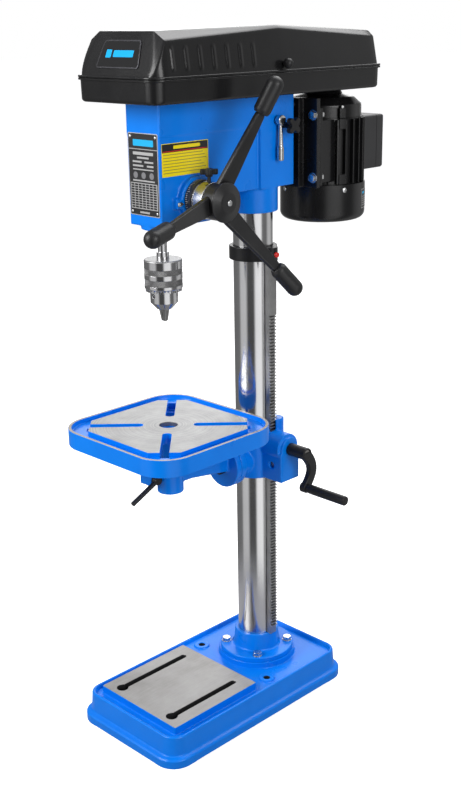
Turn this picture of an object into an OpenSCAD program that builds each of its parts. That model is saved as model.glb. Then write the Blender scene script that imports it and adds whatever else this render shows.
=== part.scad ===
// Bench drill press with belt drive, rack lifted tilting table and three arm feed.
// Lengths are in millimetres. The origin is midway between the two bench bolt holes, on the floor.
// +X is the operator's right, -Y the operator's side, +Z up.

/* [Base and column] */
// Distance between the two bench bolt holes
bench_spacing = 184; // [170:1:188]
// Radius of each bench bolt hole
bench_hole_r = 6.5; // [5:0.5:7]
// Width of the base at the floor
base_width = 272; // [264:1:300]
// Length of the base at the floor
base_length = 482; // [474:1:500]
// How far the base's middle lies behind the bench bolt line, negative is in front
base_mid = -49; // [-52:1:-46]
// Height of the base's rim
rim_z = 58; // [54:1:62]
// Height of the ground work pad on the base
pad_z = 65; // [63:1:70]
// Height of the seat that the column flange is bolted to
seat_z = 62; // [60:1:63]
// Radius of the column
column_r = 36.5; // [34:0.5:37]
// How far the column axis lies behind the bench bolt line
column_y = 68; // [66:1:70]
// Height of the column's top end
column_top = 1098; // [1080:1:1100]
// Radius of the flange at the column's foot
flange_r = 73.4; // [70:0.2:76]
// Radius of the circle of flange bolts
flange_bolt_circle = 61.8; // [60:0.2:63]

/* [Rack and table lift] */
// Module of the rack and gear teeth
tooth_module = 2; // [2:1:2]
// Number of teeth on the table lift gear
lift_teeth = 18; // [18:1:18]
// Height of the lift gear axis
lift_z = 480; // [480:1:480]
// Height of the crank and worm axis
crank_z = 512; // [512:1:512]
// Distance from the crank axis to the grip axis
crank_throw = 67; // [60:1:72]
// Length of the crank grip
grip_length = 92; // [80:1:100]

/* [Table] */
// Distance from the column axis to the spindle axis
throat = 221; // [219:1:223]
// Outer width of the square table
table_width = 288; // [270:1:290]
// Corner radius of the table
table_corner = 60; // [50:1:70]
// Height of the table's ground surface
table_z = 596; // [594:1:600]
// Radius of the hole through the table's middle
table_hole_r = 16; // [12:0.5:18]
// Width of the four table slots
table_slot = 16; // [12:0.5:18]

/* [Head and quill] */
// Half the width of the head casting
head_half = 40; // [39:0.5:41]
// Radius of the quill
quill_r = 28; // [28:0.5:28]
// Height of the quill's lower end
quill_z = 948; // [946:1:950]
// Distance the quill slides down
quill_travel = 80; // [60:1:80]
// Number of teeth on the quill pinion
pinion_teeth = 14; // [14:1:14]
// Height of the feed shaft
feed_z = 997; // [997:1:997]
// Radius of the feed shaft
feed_shaft_r = 9; // [8:0.5:9.5]
// Distance from the feed shaft to the end of each arm's grip
feed_reach = 212; // [180:1:215]
// Slope of the feed arms away from the head in degrees
feed_slope = 17.7; // [14:0.1:18]

/* [Drill chuck] */
// Radius of the chuck's outer sleeve
chuck_r = 33; // [30:0.5:34]
// Radius of the chuck's body
chuck_body_r = 24; // [24:0.5:25]
// Lean of each jaw from the spindle axis in degrees
jaw_lean = 12; // [10:0.5:12]
// Radius of each round jaw
jaw_r = 4.2; // [3.5:0.1:4.3]

/* [Motor and cover] */
// How far the motor axis lies behind the bench bolt line
motor_y = 261; // [258:1:263]
// Radius of the motor over its fins
motor_r = 79; // [77:0.5:80]
// Width of the belt tray
tray_width = 194; // [190:1:198]
// Length of the belt tray
tray_length = 558; // [552:1:562]
// Height of the tray's floor
tray_z = 1157.5; // [1157.5:0.5:1157.5]
// Height where the lid sits on the tray
lid_z = 1196; // [1194:1:1198]
// Height of the lid's highest line
lid_top = 1272; // [1268:1:1280]

/* [Fits] */
// Radial clearance of parts that turn or slide on each other
running = 0.1; // [0.05:0.01:0.1]
// Radial clearance of parts that are pressed or screwed together
seated = 0.02; // [0.01:0.01:0.05]
// Gap kept between faces that pass each other
gap = 0.4; // [0.3:0.05:0.5]

/* [Hidden] */
$fn = 64;
// Small extra length that lets a cut run past a face
cut = 1;
// Tooth pitch along both racks
pitch = tooth_module * PI;
spindle_y = column_y - throat;
lift_r = lift_teeth * tooth_module / 2;
pinion_r = pinion_teeth * tooth_module / 2;
// Wall thicknesses of castings, pressed steel and moulded covers
cast_wall = 8;
sheet = 2.5;
// Base details
lip_h = 18;
rim_width = base_width - 24;
rim_length = base_length - 28;
floor_z = 50;
web_z = 42;
foot_notch = 7;
pad_x = 103.6;
pad_front = -253.5;
pad_back = -41.6;
slot_x = 70;
slot_front = -231;
slot_back = -72;
slot_r = 6;
slot_head_r = 11;
boss_r = 15;
boss_top = 53.5;
flange_top = 72;
collar_r = column_r + 6.7;
collar_top = 106;
bolt_r = 5;
head_hex = 9.2;
head_h = 8;
// Rack
rack_back = column_r + gap;
rack_root = rack_back + 10;
rack_tip = rack_root + 4;
rack_w = 16;
rack_z0 = collar_top + gap;
rack_z1 = 883.6;
teeth_top = 763;
ring_z = 864;
ring_h = 25;
gear_x = rack_tip - 2 + lift_r;
gear_w = 20;
worm_r = 11.5;
// Bracket
bracket_z0 = 447;
bracket_h = 98;
bracket_r = 50;
box_x = 92;
box_half = 25;
tilt_r = 42;
tilt_face = -10;
tilt_bolt_r = 8;
stem_r = 17;
stem_boss_r = 24;
clamp_y = spindle_y - 33;
clamp_z = 499;
clamp_r = 5;
// Head
feed_y = spindle_y + quill_r - 2 + pinion_r;
head_front = -188;
head_back = 129;
rear_half = head_half + 6;
rear_start = 42;
low_end = -75;
head_low = 955;
head_mid = 995;
step_z = 1104;
hub_face = rear_half + 4;
rod_x = 24;
rod_z = 1134;
rod_r = 7;
lever_y = 84;
lever_z = 1112;
lock_y = 103;
lock_z = 1102;
quill_top = 1110;
quill_bore = 23;
sleeve_r = 14;
spline_r = 9;
spindle_r = 12;
bearing_h = 12;
pulley_z = 1168;
step_h = 14;
idler_y = 60;
motor_step_r = 28;
idler_swing = sqrt(30 * 30 + 30 * 30);
pivot_x = -30;
pivot_y = 30;
// Chuck heights
chuck_low = 809.5;
chuck_step = 821;
chuck_ring = 847;
chuck_top = 896;
jaw_tip = 788.5;
jaw_len = 50;
// Motor
fan_cover_r = motor_r + 2;
motor_z0 = 985;
motor_z1 = 1105;
plate_front = 158;

// ---- shared shapes ----

// Turns the children's +Z to +X
module to_x() {
    rotate([0, 90, 0]) children();
}

// Turns the children's +Z to +Y
module to_y() {
    rotate([-90, 0, 0]) children();
}

// Cylinder along X from x0 to x1
module rod_x(x0, x1, r) {
    translate([x0, 0, 0]) to_x() cylinder(h = x1 - x0, r = r);
}

// Cylinder along Y from y0 to y1
module rod_y(y0, y1, r) {
    translate([0, y0, 0]) to_y() cylinder(h = y1 - y0, r = r);
}

// Cylinder along Z from z0 to z1
module rod_z(z0, z1, r) {
    translate([0, 0, z0]) cylinder(h = z1 - z0, r = r);
}

// Ring along Z from z0 to z1
module ring_z(z0, z1, r_out, r_in) {
    difference() {
        rod_z(z0, z1, r_out);
        rod_z(z0 - cut, z1 + cut, r_in);
    }
}

// Box between two corners
module block(a, b) {
    translate(a) cube(b - a);
}

// Flat rectangle with round corners, centred
module round_rect(w, l, r) {
    square([w - 2 * r, l], center = true);
    square([w, l - 2 * r], center = true);
    for (sx = [-1, 1]) {
        for (sy = [-1, 1]) {
            translate([sx * (w / 2 - r), sy * (l / 2 - r)]) circle(r = r);
        }
    }
}

// Plate with round corners from z0 to z1
module plate(w, l, r, z0, z1) {
    translate([0, 0, z0]) linear_extrude(height = z1 - z0) round_rect(w, l, r);
}

// Outline of a straight tooth standing on y = 0, pointing to +Y
module tooth(root_half, tip_half, height) {
    polygon([[-root_half, -cut], [root_half, -cut], [root_half, 0], [tip_half, height],
        [-tip_half, height], [-root_half, 0]]);
}

// Flat outline of a gear with one tooth on +Y
module gear_outline(teeth, root_r, tip_r, root_half, tip_half) {
    circle(r = root_r);
    for (i = [0 : teeth - 1]) {
        rotate([0, 0, i * 360 / teeth]) translate([0, root_r - 0.1]) tooth(root_half, tip_half, tip_r - root_r);
    }
}

// Four lobed hand knob along Z, centred on its own axis
module lobed_knob(h, core, lobe, reach) {
    cylinder(h = h, r = core);
    for (a = [45 : 90 : 315]) {
        rotate([0, 0, a]) translate([reach, 0, 0]) cylinder(h = h, r = lobe);
    }
}

// Hexagon head along Z
module hex_head(h, r) {
    cylinder(h = h, r = r, $fn = 6);
}

// Stepped V pulley along Z, radii listed from the lowest step up
module step_pulley(radii) {
    groove = 8;
    rim = 1.5;
    for (i = [0 : len(radii) - 1]) {
        translate([0, 0, i * step_h]) rotate_extrude()
            polygon([[0, 0], [radii[i], 0], [radii[i], rim], [radii[i] - groove, step_h / 2 - 3],
                [radii[i] - groove, step_h / 2 + 3], [radii[i], step_h - rim], [radii[i], step_h], [0, step_h]]);
    }
}

// Flat outline round two circles, the first at the origin and the second at distance d on +Y
module loop_fill(r1, r2, d) {
    lean = asin((r1 - r2) / d);
    circle(r = r1);
    translate([0, d]) circle(r = r2);
    polygon([[r1 * cos(lean), r1 * sin(lean)], [r2 * cos(lean), d + r2 * sin(lean)],
        [-r2 * cos(lean), d + r2 * sin(lean)], [-r1 * cos(lean), r1 * sin(lean)]]);
}

// Belt lying in the grooves of two pulleys
module belt(r1, r2, d, z0) {
    depth = 6.5;
    width = 5.2;
    translate([0, 0, z0 + step_h / 2 - width / 2]) linear_extrude(height = width) difference() {
        loop_fill(r1 - cut, r2 - cut, d);
        loop_fill(r1 - depth, r2 - depth, d);
    }
}

// ---- base and column ----

module base_slot() {
    block([-slot_r, slot_front, web_z - cut], [slot_r, slot_back, pad_z + cut]);
    translate([0, slot_back, 0]) rod_z(web_z - cut, pad_z + cut, slot_r);
    translate([0, slot_front, 0]) rod_z(web_z - cut, pad_z + cut, slot_head_r);
}

module base_shell() {
    corner = 28;
    difference() {
        translate([0, base_mid, 0]) union() {
            plate(base_width, base_length, corner + 6, 0, lip_h);
            plate(rim_width, rim_length, corner, lip_h - cut, rim_z);
        }
        translate([0, base_mid, 0]) plate(rim_width - 2 * cast_wall, rim_length - 2 * cast_wall,
            corner - cast_wall, floor_z, rim_z + cut);
        translate([0, base_mid, 0]) plate(rim_width - 2 * cast_wall, rim_length - 2 * cast_wall,
            corner - cast_wall, -cut, web_z);
        // feet are left at the corners
        block([-base_width / 2 + 52, -base_length, -cut], [base_width / 2 - 52, base_length, foot_notch]);
        block([-base_width, base_mid - base_length / 2 + 62, -cut],
            [base_width, base_mid + base_length / 2 - 62, foot_notch]);
    }
}

module base() {
    color([0.04, 0.4, 0.85]) difference() {
        union() {
            base_shell();
            block([-pad_x, pad_front, web_z], [pad_x, pad_back, pad_z]);
            for (sx = [-1, 1]) {
                translate([sx * bench_spacing / 2, 0, 0]) rod_z(0, boss_top, boss_r);
            }
            translate([0, column_y, 0]) rod_z(web_z - 12, seat_z, flange_r + 3);
        }
        for (sx = [-1, 1]) {
            translate([sx * bench_spacing / 2, 0, 0]) rod_z(-cut, boss_top + cut, bench_hole_r);
            translate([sx * slot_x, 0, 0]) base_slot();
        }
        flange_bolt_places() rod_z(web_z - 13, seat_z + cut, bolt_r + seated);
    }
}

// Puts the children at each flange bolt
module flange_bolt_places() {
    for (a = [45 : 90 : 315]) {
        translate([0, column_y, 0]) rotate([0, 0, a]) translate([flange_bolt_circle, 0, 0]) children();
    }
}

module column_flange() {
    fillet = 8;
    color([0.04, 0.4, 0.85]) difference() {
        translate([0, column_y, 0]) difference() {
            union() {
                rod_z(seat_z, flange_top, flange_r);
                rod_z(flange_top - cut, collar_top, collar_r);
                translate([0, 0, flange_top]) cylinder(h = fillet, r1 = collar_r + fillet / 2, r2 = collar_r);
            }
            rod_z(seat_z - cut, collar_top + cut, column_r + seated);
        }
        flange_bolt_places() rod_z(seat_z - cut, flange_top + cut, bolt_r + seated);
    }
}

module flange_bolts() {
    color([0.75, 0.75, 0.77]) flange_bolt_places() union() {
        rod_z(web_z - 6, flange_top, bolt_r);
        translate([0, 0, flange_top]) hex_head(head_h, head_hex);
    }
}

module column() {
    color([0.8, 0.8, 0.82]) translate([0, column_y, 0]) ring_z(seat_z, column_top, column_r, column_r - 6);
}

// ---- rack and table lift ----

module rack() {
    root_half = 1.9;
    tip_half = 0.85;
    count = floor((teeth_top - lift_z) / pitch - 0.5);
    count_low = floor((lift_z - rack_z0) / pitch - 1.5);
    color([0.6, 0.6, 0.62]) translate([0, column_y + rack_w / 2, 0]) rotate([90, 0, 0])
        linear_extrude(height = rack_w) {
            translate([rack_back, rack_z0]) square([rack_root - rack_back, rack_z1 - rack_z0]);
            translate([rack_back, teeth_top]) square([rack_tip - rack_back, rack_z1 - teeth_top]);
            for (i = [-count_low : count]) {
                translate([rack_root, lift_z + (i + 0.5) * pitch]) rotate([0, 0, -90])
                    tooth(root_half, tip_half, rack_tip - rack_root);
            }
        }
}

module rack_collar() {
    bulge_r = 14;
    bulge_x = rack_tip - 8;
    color([0.08, 0.08, 0.09]) translate([0, column_y, 0]) difference() {
        union() {
            rod_z(ring_z, ring_z + ring_h, column_r + 7.5);
            translate([bulge_x, 0, 0]) rod_z(ring_z, ring_z + ring_h, bulge_r);
        }
        rod_z(ring_z - cut, ring_z + ring_h + cut, column_r + running);
        block([rack_back - cut, -rack_w / 2 - seated, ring_z - cut],
            [rack_tip + seated, rack_w / 2 + seated, rack_z1 + seated]);
        translate([0, 0, ring_z + ring_h / 2]) rod_x(rack_tip - cut, rack_tip + 10, 3 + seated);
    }
}

module collar_screw() {
    head_x = rack_tip + 6 + gap;
    color([0.8, 0.08, 0.06]) translate([0, column_y, ring_z + ring_h / 2]) union() {
        rod_x(rack_tip + seated, head_x + cut, 3);
        rod_x(head_x, head_x + 5, 5);
    }
}

module table_bracket() {
    neck_r = 34;
    color([0.04, 0.4, 0.85]) difference() {
        union() {
            translate([0, column_y, 0]) rod_z(bracket_z0, bracket_z0 + bracket_h, bracket_r);
            translate([0, 0, lift_z]) rod_y(tilt_face, tilt_face + 13, tilt_r);
            translate([0, 0, lift_z]) rod_y(tilt_face, column_y - column_r, neck_r - 1);
            block([column_r, column_y - box_half, bracket_z0 + 2], [box_x, column_y + box_half, crank_z - 4]);
            translate([0, column_y, crank_z]) rod_x(column_r, box_x - 6, 28);
            translate([0, column_y, crank_z]) rod_x(box_x - 6 - cut, box_x, 22);
            translate([0, column_y, crank_z]) rod_x(-bracket_r - 18, -column_r, 13);
            translate([column_r + 6, column_y + 14, 0]) rod_z(bracket_z0 + bracket_h - 20, bracket_z0 + bracket_h + 16, 15);
        }
        translate([0, column_y, 0]) rod_z(bracket_z0 - cut, bracket_z0 + bracket_h + 40, column_r + running);
        block([column_r - 6, column_y - rack_w / 2 - gap, bracket_z0 - cut],
            [rack_tip + gap, column_y + rack_w / 2 + gap, bracket_z0 + bracket_h + 40]);
        translate([0, 0, lift_z]) rod_y(tilt_face - cut, column_y - column_r, tilt_bolt_r + running);
        translate([gear_x, 0, lift_z]) rod_y(column_y - gear_w / 2 - gap, column_y + gear_w / 2 + gap, lift_r + 3);
        translate([gear_x, 0, lift_z]) rod_y(column_y - box_half - cut, column_y + 21, 6 + running);
        translate([0, column_y, crank_z]) rod_x(56, 84, worm_r + 3);
        translate([0, column_y, crank_z]) rod_x(rack_tip, 57, 6 + running);
        translate([0, column_y, crank_z]) rod_x(83, box_x + cut, 8 + running);
        translate([0, column_y, crank_z]) rod_x(-bracket_r - 18 - cut, -column_r + cut, 6 + running);
    }
}

module lift_gear() {
    color([0.6, 0.6, 0.62]) translate([gear_x, 0, lift_z]) union() {
        translate([0, column_y - gear_w / 2, 0]) to_y() linear_extrude(height = gear_w)
            rotate([0, 0, 90]) gear_outline(lift_teeth, lift_r - 2.4, lift_r + 1.5, 1.5, 0.75);
        rod_y(column_y - 19, column_y + 19, 6);
    }
}

module crank_shaft() {
    color([0.6, 0.6, 0.62]) translate([0, column_y, crank_z]) union() {
        rod_x(rack_tip + 2, 57, 6);
        rod_x(56 + gap, 84 - gap, worm_r);
        rod_x(83, 134, 8);
    }
}

module crank_arm() {
    hub_r = 12;
    arm_x = 124;
    arm_t = 12;
    arm_half = 8;
    // the arm follows a circle that passes through both ends and bulges to +Y
    bow = 40;
    bow_r = sqrt(bow * bow + crank_throw * crank_throw / 4);
    color([0.06, 0.06, 0.07]) translate([0, column_y, crank_z]) difference() {
        union() {
            rod_x(box_x + gap, arm_x + arm_t, hub_r);
            intersection() {
                translate([0, -bow, -crank_throw / 2]) difference() {
                    rod_x(arm_x, arm_x + arm_t, bow_r + arm_half);
                    rod_x(arm_x - cut, arm_x + arm_t + cut, bow_r - arm_half);
                }
                block([arm_x, -arm_half, -crank_throw], [arm_x + arm_t, 3 * bow, 0]);
            }
            translate([0, 0, -crank_throw]) rod_x(arm_x, arm_x + arm_t, 10);
            translate([0, 0, -crank_throw]) rod_x(arm_x, arm_x + arm_t + grip_length - 6, 5);
        }
        rod_x(box_x, 134 + seated, 8 + seated);
    }
}

module crank_grip() {
    grip_x = 136 + gap;
    color([0.06, 0.06, 0.07]) translate([0, column_y, crank_z - crank_throw]) difference() {
        rod_x(grip_x, grip_x + grip_length, 9);
        rod_x(grip_x - cut, grip_x + grip_length - 5, 5 + running);
    }
}

module column_clamp_lever() {
    hub_x = -bracket_r - 18 - gap;
    color([0.06, 0.06, 0.07]) translate([0, column_y, crank_z]) union() {
        rod_x(hub_x - cut, -column_r - 1.5, 6);
        rod_x(hub_x - 16, hub_x, 11);
        translate([hub_x - 8, 0, 0]) rotate([-150, 0, 0]) rod_z(0, 78, 4.5);
        translate([hub_x - 8, 0, 0]) rotate([-150, 0, 0]) translate([0, 0, 78]) sphere(r = 9);
    }
}

// ---- table ----

module table_arm() {
    beam_half = 17;
    boss_z0 = 470;
    boss_z1 = 545;
    back = tilt_face - gap;
    color([0.04, 0.4, 0.85]) difference() {
        union() {
            translate([0, spindle_y, 0]) rod_z(boss_z0, boss_z1, stem_boss_r);
            translate([0, 0, lift_z]) rod_y(back - 12, back, tilt_r);
            block([-beam_half, spindle_y, 500], [beam_half, back - 6, 540]);
            block([-6, spindle_y, 484], [6, back - 50, 501]);
            block([-34, clamp_y - 9, clamp_z - 12], [-5, spindle_y, clamp_z + 12]);
        }
        translate([0, spindle_y, 0]) rod_z(boss_z0 - cut, boss_z1 + cut, stem_r + running);
        translate([0, 0, lift_z]) rod_y(back - 13, back + cut, tilt_bolt_r + seated);
        translate([0, clamp_y, clamp_z]) rod_x(-36, -4, clamp_r + running);
        // slit that lets the lugs pinch the stem
        block([-22, clamp_y - 10, clamp_z - 13], [-20, spindle_y - 15, clamp_z + 13]);
    }
}

module tilt_bolt() {
    head_y = tilt_face - gap - 12;
    color([0.12, 0.12, 0.13]) translate([0, 0, lift_z]) union() {
        rod_y(head_y - cut, column_y - column_r - 5, tilt_bolt_r);
        translate([0, head_y - 13, 0]) to_y() hex_head(13, 15);
    }
}

module table() {
    top_half = 119.1;
    chamfer = 39.2;
    skirt = 31;
    rim = 7;
    deck = 12;
    trough = 8;
    slot_in = 45;
    color([0.04, 0.4, 0.85]) translate([0, spindle_y, 0]) difference() {
        union() {
            difference() {
                plate(table_width, table_width, table_corner, table_z - skirt, table_z);
                plate(table_width - 2 * rim, table_width - 2 * rim, table_corner - rim, table_z - trough, table_z + cut);
                plate(table_width - 2 * rim, table_width - 2 * rim, table_corner - rim,
                    table_z - skirt - cut, table_z - deck - trough);
            }
            translate([0, 0, table_z - deck - trough]) linear_extrude(height = deck + trough)
                polygon([[top_half, chamfer - top_half], [top_half, top_half - chamfer],
                    [top_half - chamfer, top_half], [chamfer - top_half, top_half],
                    [-top_half, top_half - chamfer], [-top_half, chamfer - top_half],
                    [chamfer - top_half, -top_half], [top_half - chamfer, -top_half]]);
            rod_z(546, table_z - deck, 30);
            rod_z(474, table_z - deck, stem_r);
        }
        rod_z(474 - cut, table_z + cut, 11);
        rod_z(table_z - 14, table_z + cut, table_hole_r);
        for (a = [45 : 90 : 315]) {
            rotate([0, 0, a]) {
                block([slot_in + table_slot / 2, -table_slot / 2, table_z - skirt], [146, table_slot / 2, table_z + cut]);
                translate([slot_in + table_slot / 2, 0, 0]) rod_z(table_z - skirt, table_z + cut, table_slot / 2);
            }
        }
    }
}

module table_clamp_lever() {
    color([0.06, 0.06, 0.07]) translate([0, clamp_y, clamp_z]) union() {
        rod_x(-36, -3, clamp_r);
        rod_x(-5 + gap, 7, 8);
        translate([2, 0, 0]) rotate([115, 0, 0]) rod_z(0, 66, 4.5);
    }
}

// ---- head ----

module head_outer() {
    block([-head_half, head_front, head_mid], [head_half, rear_start + cut, tray_z]);
    block([-head_half, head_front, head_low], [head_half, low_end, head_mid + cut]);
    block([-head_half - 1.5, head_front, step_z], [head_half + 1.5, rear_start + cut, tray_z]);
    block([-rear_half, rear_start, head_mid], [rear_half, head_back, tray_z]);
    translate([0, column_y, 0]) rod_z(951, head_mid + cut, rear_half);
    translate([0, spindle_y, 0]) rod_z(quill_z, head_low + cut, 35);
    translate([0, feed_y, feed_z]) rod_x(0, hub_face, 38);
    translate([0, feed_y, feed_z]) rod_x(-hub_face, 0, 32);
    block([head_half - cut, -162, 985], [hub_face, feed_y - 30, 1001]);
}

module head_casting() {
    wall = cast_wall;
    color([0.04, 0.4, 0.85]) difference() {
        union() {
            difference() {
                head_outer();
                block([-head_half + wall, feed_y + 25, head_mid + 15], [head_half - wall, column_y - column_r - 14, 1148]);
            }
            translate([0, feed_y, feed_z]) rod_x(-head_half, head_half, 18);
        }
        translate([0, spindle_y, 0]) rod_z(quill_z - cut, quill_top + 6, quill_r + running);
        translate([0, spindle_y, 0]) rod_z(1126, tray_z + cut, 24 + seated);
        translate([0, spindle_y, 0]) rod_z(quill_top, 1127, 18);
        translate([0, feed_y, feed_z]) rod_x(-hub_face - cut, hub_face + cut, feed_shaft_r + running);
        translate([0, feed_y, feed_z]) rod_x(-15, 15, pinion_r + 3);
        translate([0, column_y, 0]) rod_z(950, column_top, column_r + seated);
        for (sx = [-1, 1]) {
            translate([sx * rod_x, 0, rod_z]) rod_y(12, head_back + cut, rod_r + running);
        }
        translate([0, lever_y, lever_z]) rod_x(30, rear_half + cut, 6 + running);
        translate([0, lock_y, lock_z]) rod_x(rear_half - 14, rear_half + cut, 5 + running);
        translate([pivot_x, pivot_y, 0]) rod_z(1140, tray_z + cut, 6 + running);
    }
}

module nameplate() {
    color([0.05, 0.05, 0.06]) union() {
        block([-36.5, head_front - 1.4, 973], [36.5, head_front - 0.05, 1108]);
        for (sx = [-1, 1]) {
            for (z = [979, 1102]) {
                translate([sx * 31, 0, z]) rod_y(head_front - 2.4, head_front - 1, 2.2);
            }
        }
    }
}

module side_label() {
    color([0.95, 0.85, 0.05]) block([head_half + 0.05, -184, 1038.5], [head_half + 0.5, -79.5, 1092]);
}

module depth_pointer() {
    tip_y = feed_y - 33 - 1.5;
    color([0.75, 0.75, 0.77]) difference() {
        translate([hub_face + 0.05, 0, feed_z - 4]) rotate([90, 0, 90]) linear_extrude(height = 3)
            polygon([[-161, -4], [-153, -4], [tip_y, 0], [-153, 4], [-161, 4]]);
        translate([0, -158, feed_z - 4]) rod_x(hub_face, hub_face + 4, 1.5);
    }
}

module spring_housing() {
    color([0.06, 0.06, 0.07]) translate([0, feed_y, feed_z]) difference() {
        rod_x(-hub_face - 16, -hub_face - 0.05, 31);
        rod_x(-hub_face - 13, -hub_face + cut, 28);
    }
}

// Flat coil spring drawn as half rings of growing radius
module return_spring() {
    turn = 3;
    strip = 1.2;
    color([0.4, 0.42, 0.46]) translate([-hub_face - 11, feed_y, feed_z]) to_x() linear_extrude(height = 8)
        for (i = [0 : 4]) {
            for (side = [0, 1]) {
                translate([0, side * turn / 2]) difference() {
                    circle(r = 11 + i * turn + side * turn / 2);
                    circle(r = 11 + i * turn + side * turn / 2 - strip);
                    translate([side * -40, -40]) square([40, 80]);
                }
            }
        }
}

module switch_box() {
    x0 = -head_half - 25;
    color([0.07, 0.07, 0.08]) difference() {
        block([x0, -62, 1026], [-head_half - 0.05, -6, 1100]);
        block([x0 + 3, -59, 1029], [-head_half - 3, -9, 1097]);
        block([x0 - cut, -46, 1048], [x0 + 4, -22, 1078]);
    }
}

module switch_rocker() {
    x0 = -head_half - 25;
    color([0.7, 0.1, 0.08]) difference() {
        union() {
            block([x0 - 4, -45, 1049.5], [x0 + 6, -23, 1076.5]);
            // barrel the rocker turns on
            translate([x0 + 4, 0, 1063]) rod_y(-45.5, -22.5, 5);
        }
        translate([x0 - 6, 0, 1063]) rod_y(-46, -22, 3.5);
    }
}

module drive_bearings() {
    color([0.7, 0.7, 0.72]) translate([0, spindle_y, 0]) union() {
        ring_z(1127, 1127 + bearing_h, 24, sleeve_r + 0.05);
        ring_z(1144, 1144 + bearing_h, 24, sleeve_r + 0.05);
    }
}

// ---- quill, spindle and chuck ----

module quill() {
    root_half = 2.25;
    tip_half = 1.2;
    notches = floor((quill_travel + 2 * pitch) / pitch);
    color([0.75, 0.75, 0.77]) difference() {
        translate([0, spindle_y, 0]) ring_z(quill_z + 0.2, quill_top, quill_r, quill_bore);
        translate([-16, 0, 0]) rotate([90, 0, 90]) linear_extrude(height = 32)
            for (i = [-2 : notches]) {
                translate([spindle_y + quill_r, feed_z + i * pitch]) rotate([0, 0, 90])
                    polygon([[-root_half, -cut], [root_half, -cut], [root_half, 0], [tip_half, 4.5],
                        [-tip_half, 4.5], [-root_half, 0]]);
            }
    }
}

module quill_bearings() {
    color([0.7, 0.7, 0.72]) translate([0, spindle_y, 0]) union() {
        ring_z(quill_z + 2, quill_z + 2 + bearing_h, quill_bore - seated, spindle_r + 0.05);
        ring_z(quill_top - 2 - bearing_h, quill_top - 2, quill_bore - seated, spindle_r + 0.05);
    }
}

module spindle() {
    color([0.75, 0.75, 0.77]) translate([0, spindle_y, 0]) union() {
        rod_z(884, 930, 8);
        rod_z(928, quill_z - gap, 15);
        rod_z(quill_z - cut, quill_top + 2, spindle_r);
        rod_z(quill_top, 1244, spline_r);
    }
}

// Turns the children's +Z to the axis of one jaw, at angle a round the spindle
module jaw_axis(a) {
    translate([0, spindle_y, 0]) rotate([0, 0, a]) translate([1.6, 0, jaw_tip]) rotate([0, jaw_lean, 0]) children();
}

module chuck_body() {
    color([0.8, 0.8, 0.82]) difference() {
        translate([0, spindle_y, 0]) union() {
            translate([0, 0, chuck_low]) cylinder(h = chuck_step - chuck_low, r1 = 13.5, r2 = chuck_body_r);
            rod_z(chuck_step, chuck_top - 6, chuck_body_r);
            rod_z(chuck_top - 7, 908, 10.7);
        }
        translate([0, spindle_y, 0]) rod_z(884 - seated, 909, 8 + seated);
        for (a = [90 : 120 : 330]) {
            jaw_axis(a) rod_z(0, jaw_len + 20, jaw_r + running);
            translate([0, spindle_y, 834]) rotate([0, 0, a + 60]) rod_x(16, 26, 3.6);
        }
    }
}

module chuck_sleeve() {
    color([0.8, 0.8, 0.82]) translate([0, spindle_y, 0]) difference() {
        union() {
            rod_z(chuck_ring, chuck_top, chuck_r);
            translate([0, 0, chuck_ring - 4]) cylinder(h = 4, r1 = chuck_body_r + 3, r2 = chuck_r - 2);
        }
        rod_z(chuck_ring - 5, chuck_top - 6 + gap, chuck_body_r + running);
        rod_z(chuck_top - 7, chuck_top + cut, 10.7 + running);
    }
}

// One of three jaws, at angle a round the spindle, with two flats where it meets the others
module chuck_jaw(a) {
    color([0.55, 0.56, 0.58]) intersection() {
        jaw_axis(a) rod_z(0, jaw_len, jaw_r);
        translate([0, spindle_y, jaw_tip - 2]) rotate([0, 0, a]) linear_extrude(height = jaw_len + 10)
            polygon([[0.3, 0], [40.3, 69.28], [90, 0], [40.3, -69.28]]);
    }
}

module chuck_jaw_1() {
    chuck_jaw(90);
}

module chuck_jaw_2() {
    chuck_jaw(210);
}

module chuck_jaw_3() {
    chuck_jaw(330);
}

// ---- feed ----

// Puts the children's +Z along each feed arm
module feed_arm_places() {
    for (a = [-22 : 120 : 218]) {
        translate([92, feed_y, feed_z]) rotate([a, 0, 0]) rotate([0, feed_slope, 0]) children();
    }
}

module feed_shaft() {
    color([0.65, 0.65, 0.67]) translate([0, feed_y, feed_z]) union() {
        rod_x(-hub_face - 8, 110, feed_shaft_r);
        translate([-13, 0, 0]) to_x() linear_extrude(height = 26)
            gear_outline_from_front();
    }
}

// Pinion outline whose first tooth points at the quill
module gear_outline_from_front() {
    rotate([0, 0, 180]) gear_outline(pinion_teeth, pinion_r - 2.4, pinion_r + 1.5, 1.5, 0.7);
}

module feed_hub() {
    arm_end = feed_reach / cos(feed_slope) - 65;
    color([0.06, 0.06, 0.07]) difference() {
        union() {
            translate([0, feed_y, feed_z]) rod_x(hub_face + gap, 89, 20);
            translate([0, feed_y, feed_z]) rod_x(88 + gap, 112, 31);
            feed_arm_places() union() {
                translate([-5, 0, 0]) rotate([90, 0, 90]) linear_extrude(height = 10)
                    polygon([[-16, 20], [-9, arm_end], [9, arm_end], [16, 20]]);
                rod_z(arm_end - cut, arm_end + 38, 7);
            }
        }
        translate([0, feed_y, feed_z]) rod_x(hub_face, 110 + seated, feed_shaft_r + seated);
    }
}

module feed_grips() {
    grip_start = feed_reach / cos(feed_slope) - 65;
    grip_r = 14.5;
    color([0.05, 0.05, 0.055]) feed_arm_places() difference() {
        union() {
            rod_z(grip_start + gap, grip_start + 65 - grip_r, grip_r);
            translate([0, 0, grip_start + 65 - grip_r]) sphere(r = grip_r);
        }
        rod_z(grip_start, grip_start + 38 + seated, 7 + seated);
    }
}

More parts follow.
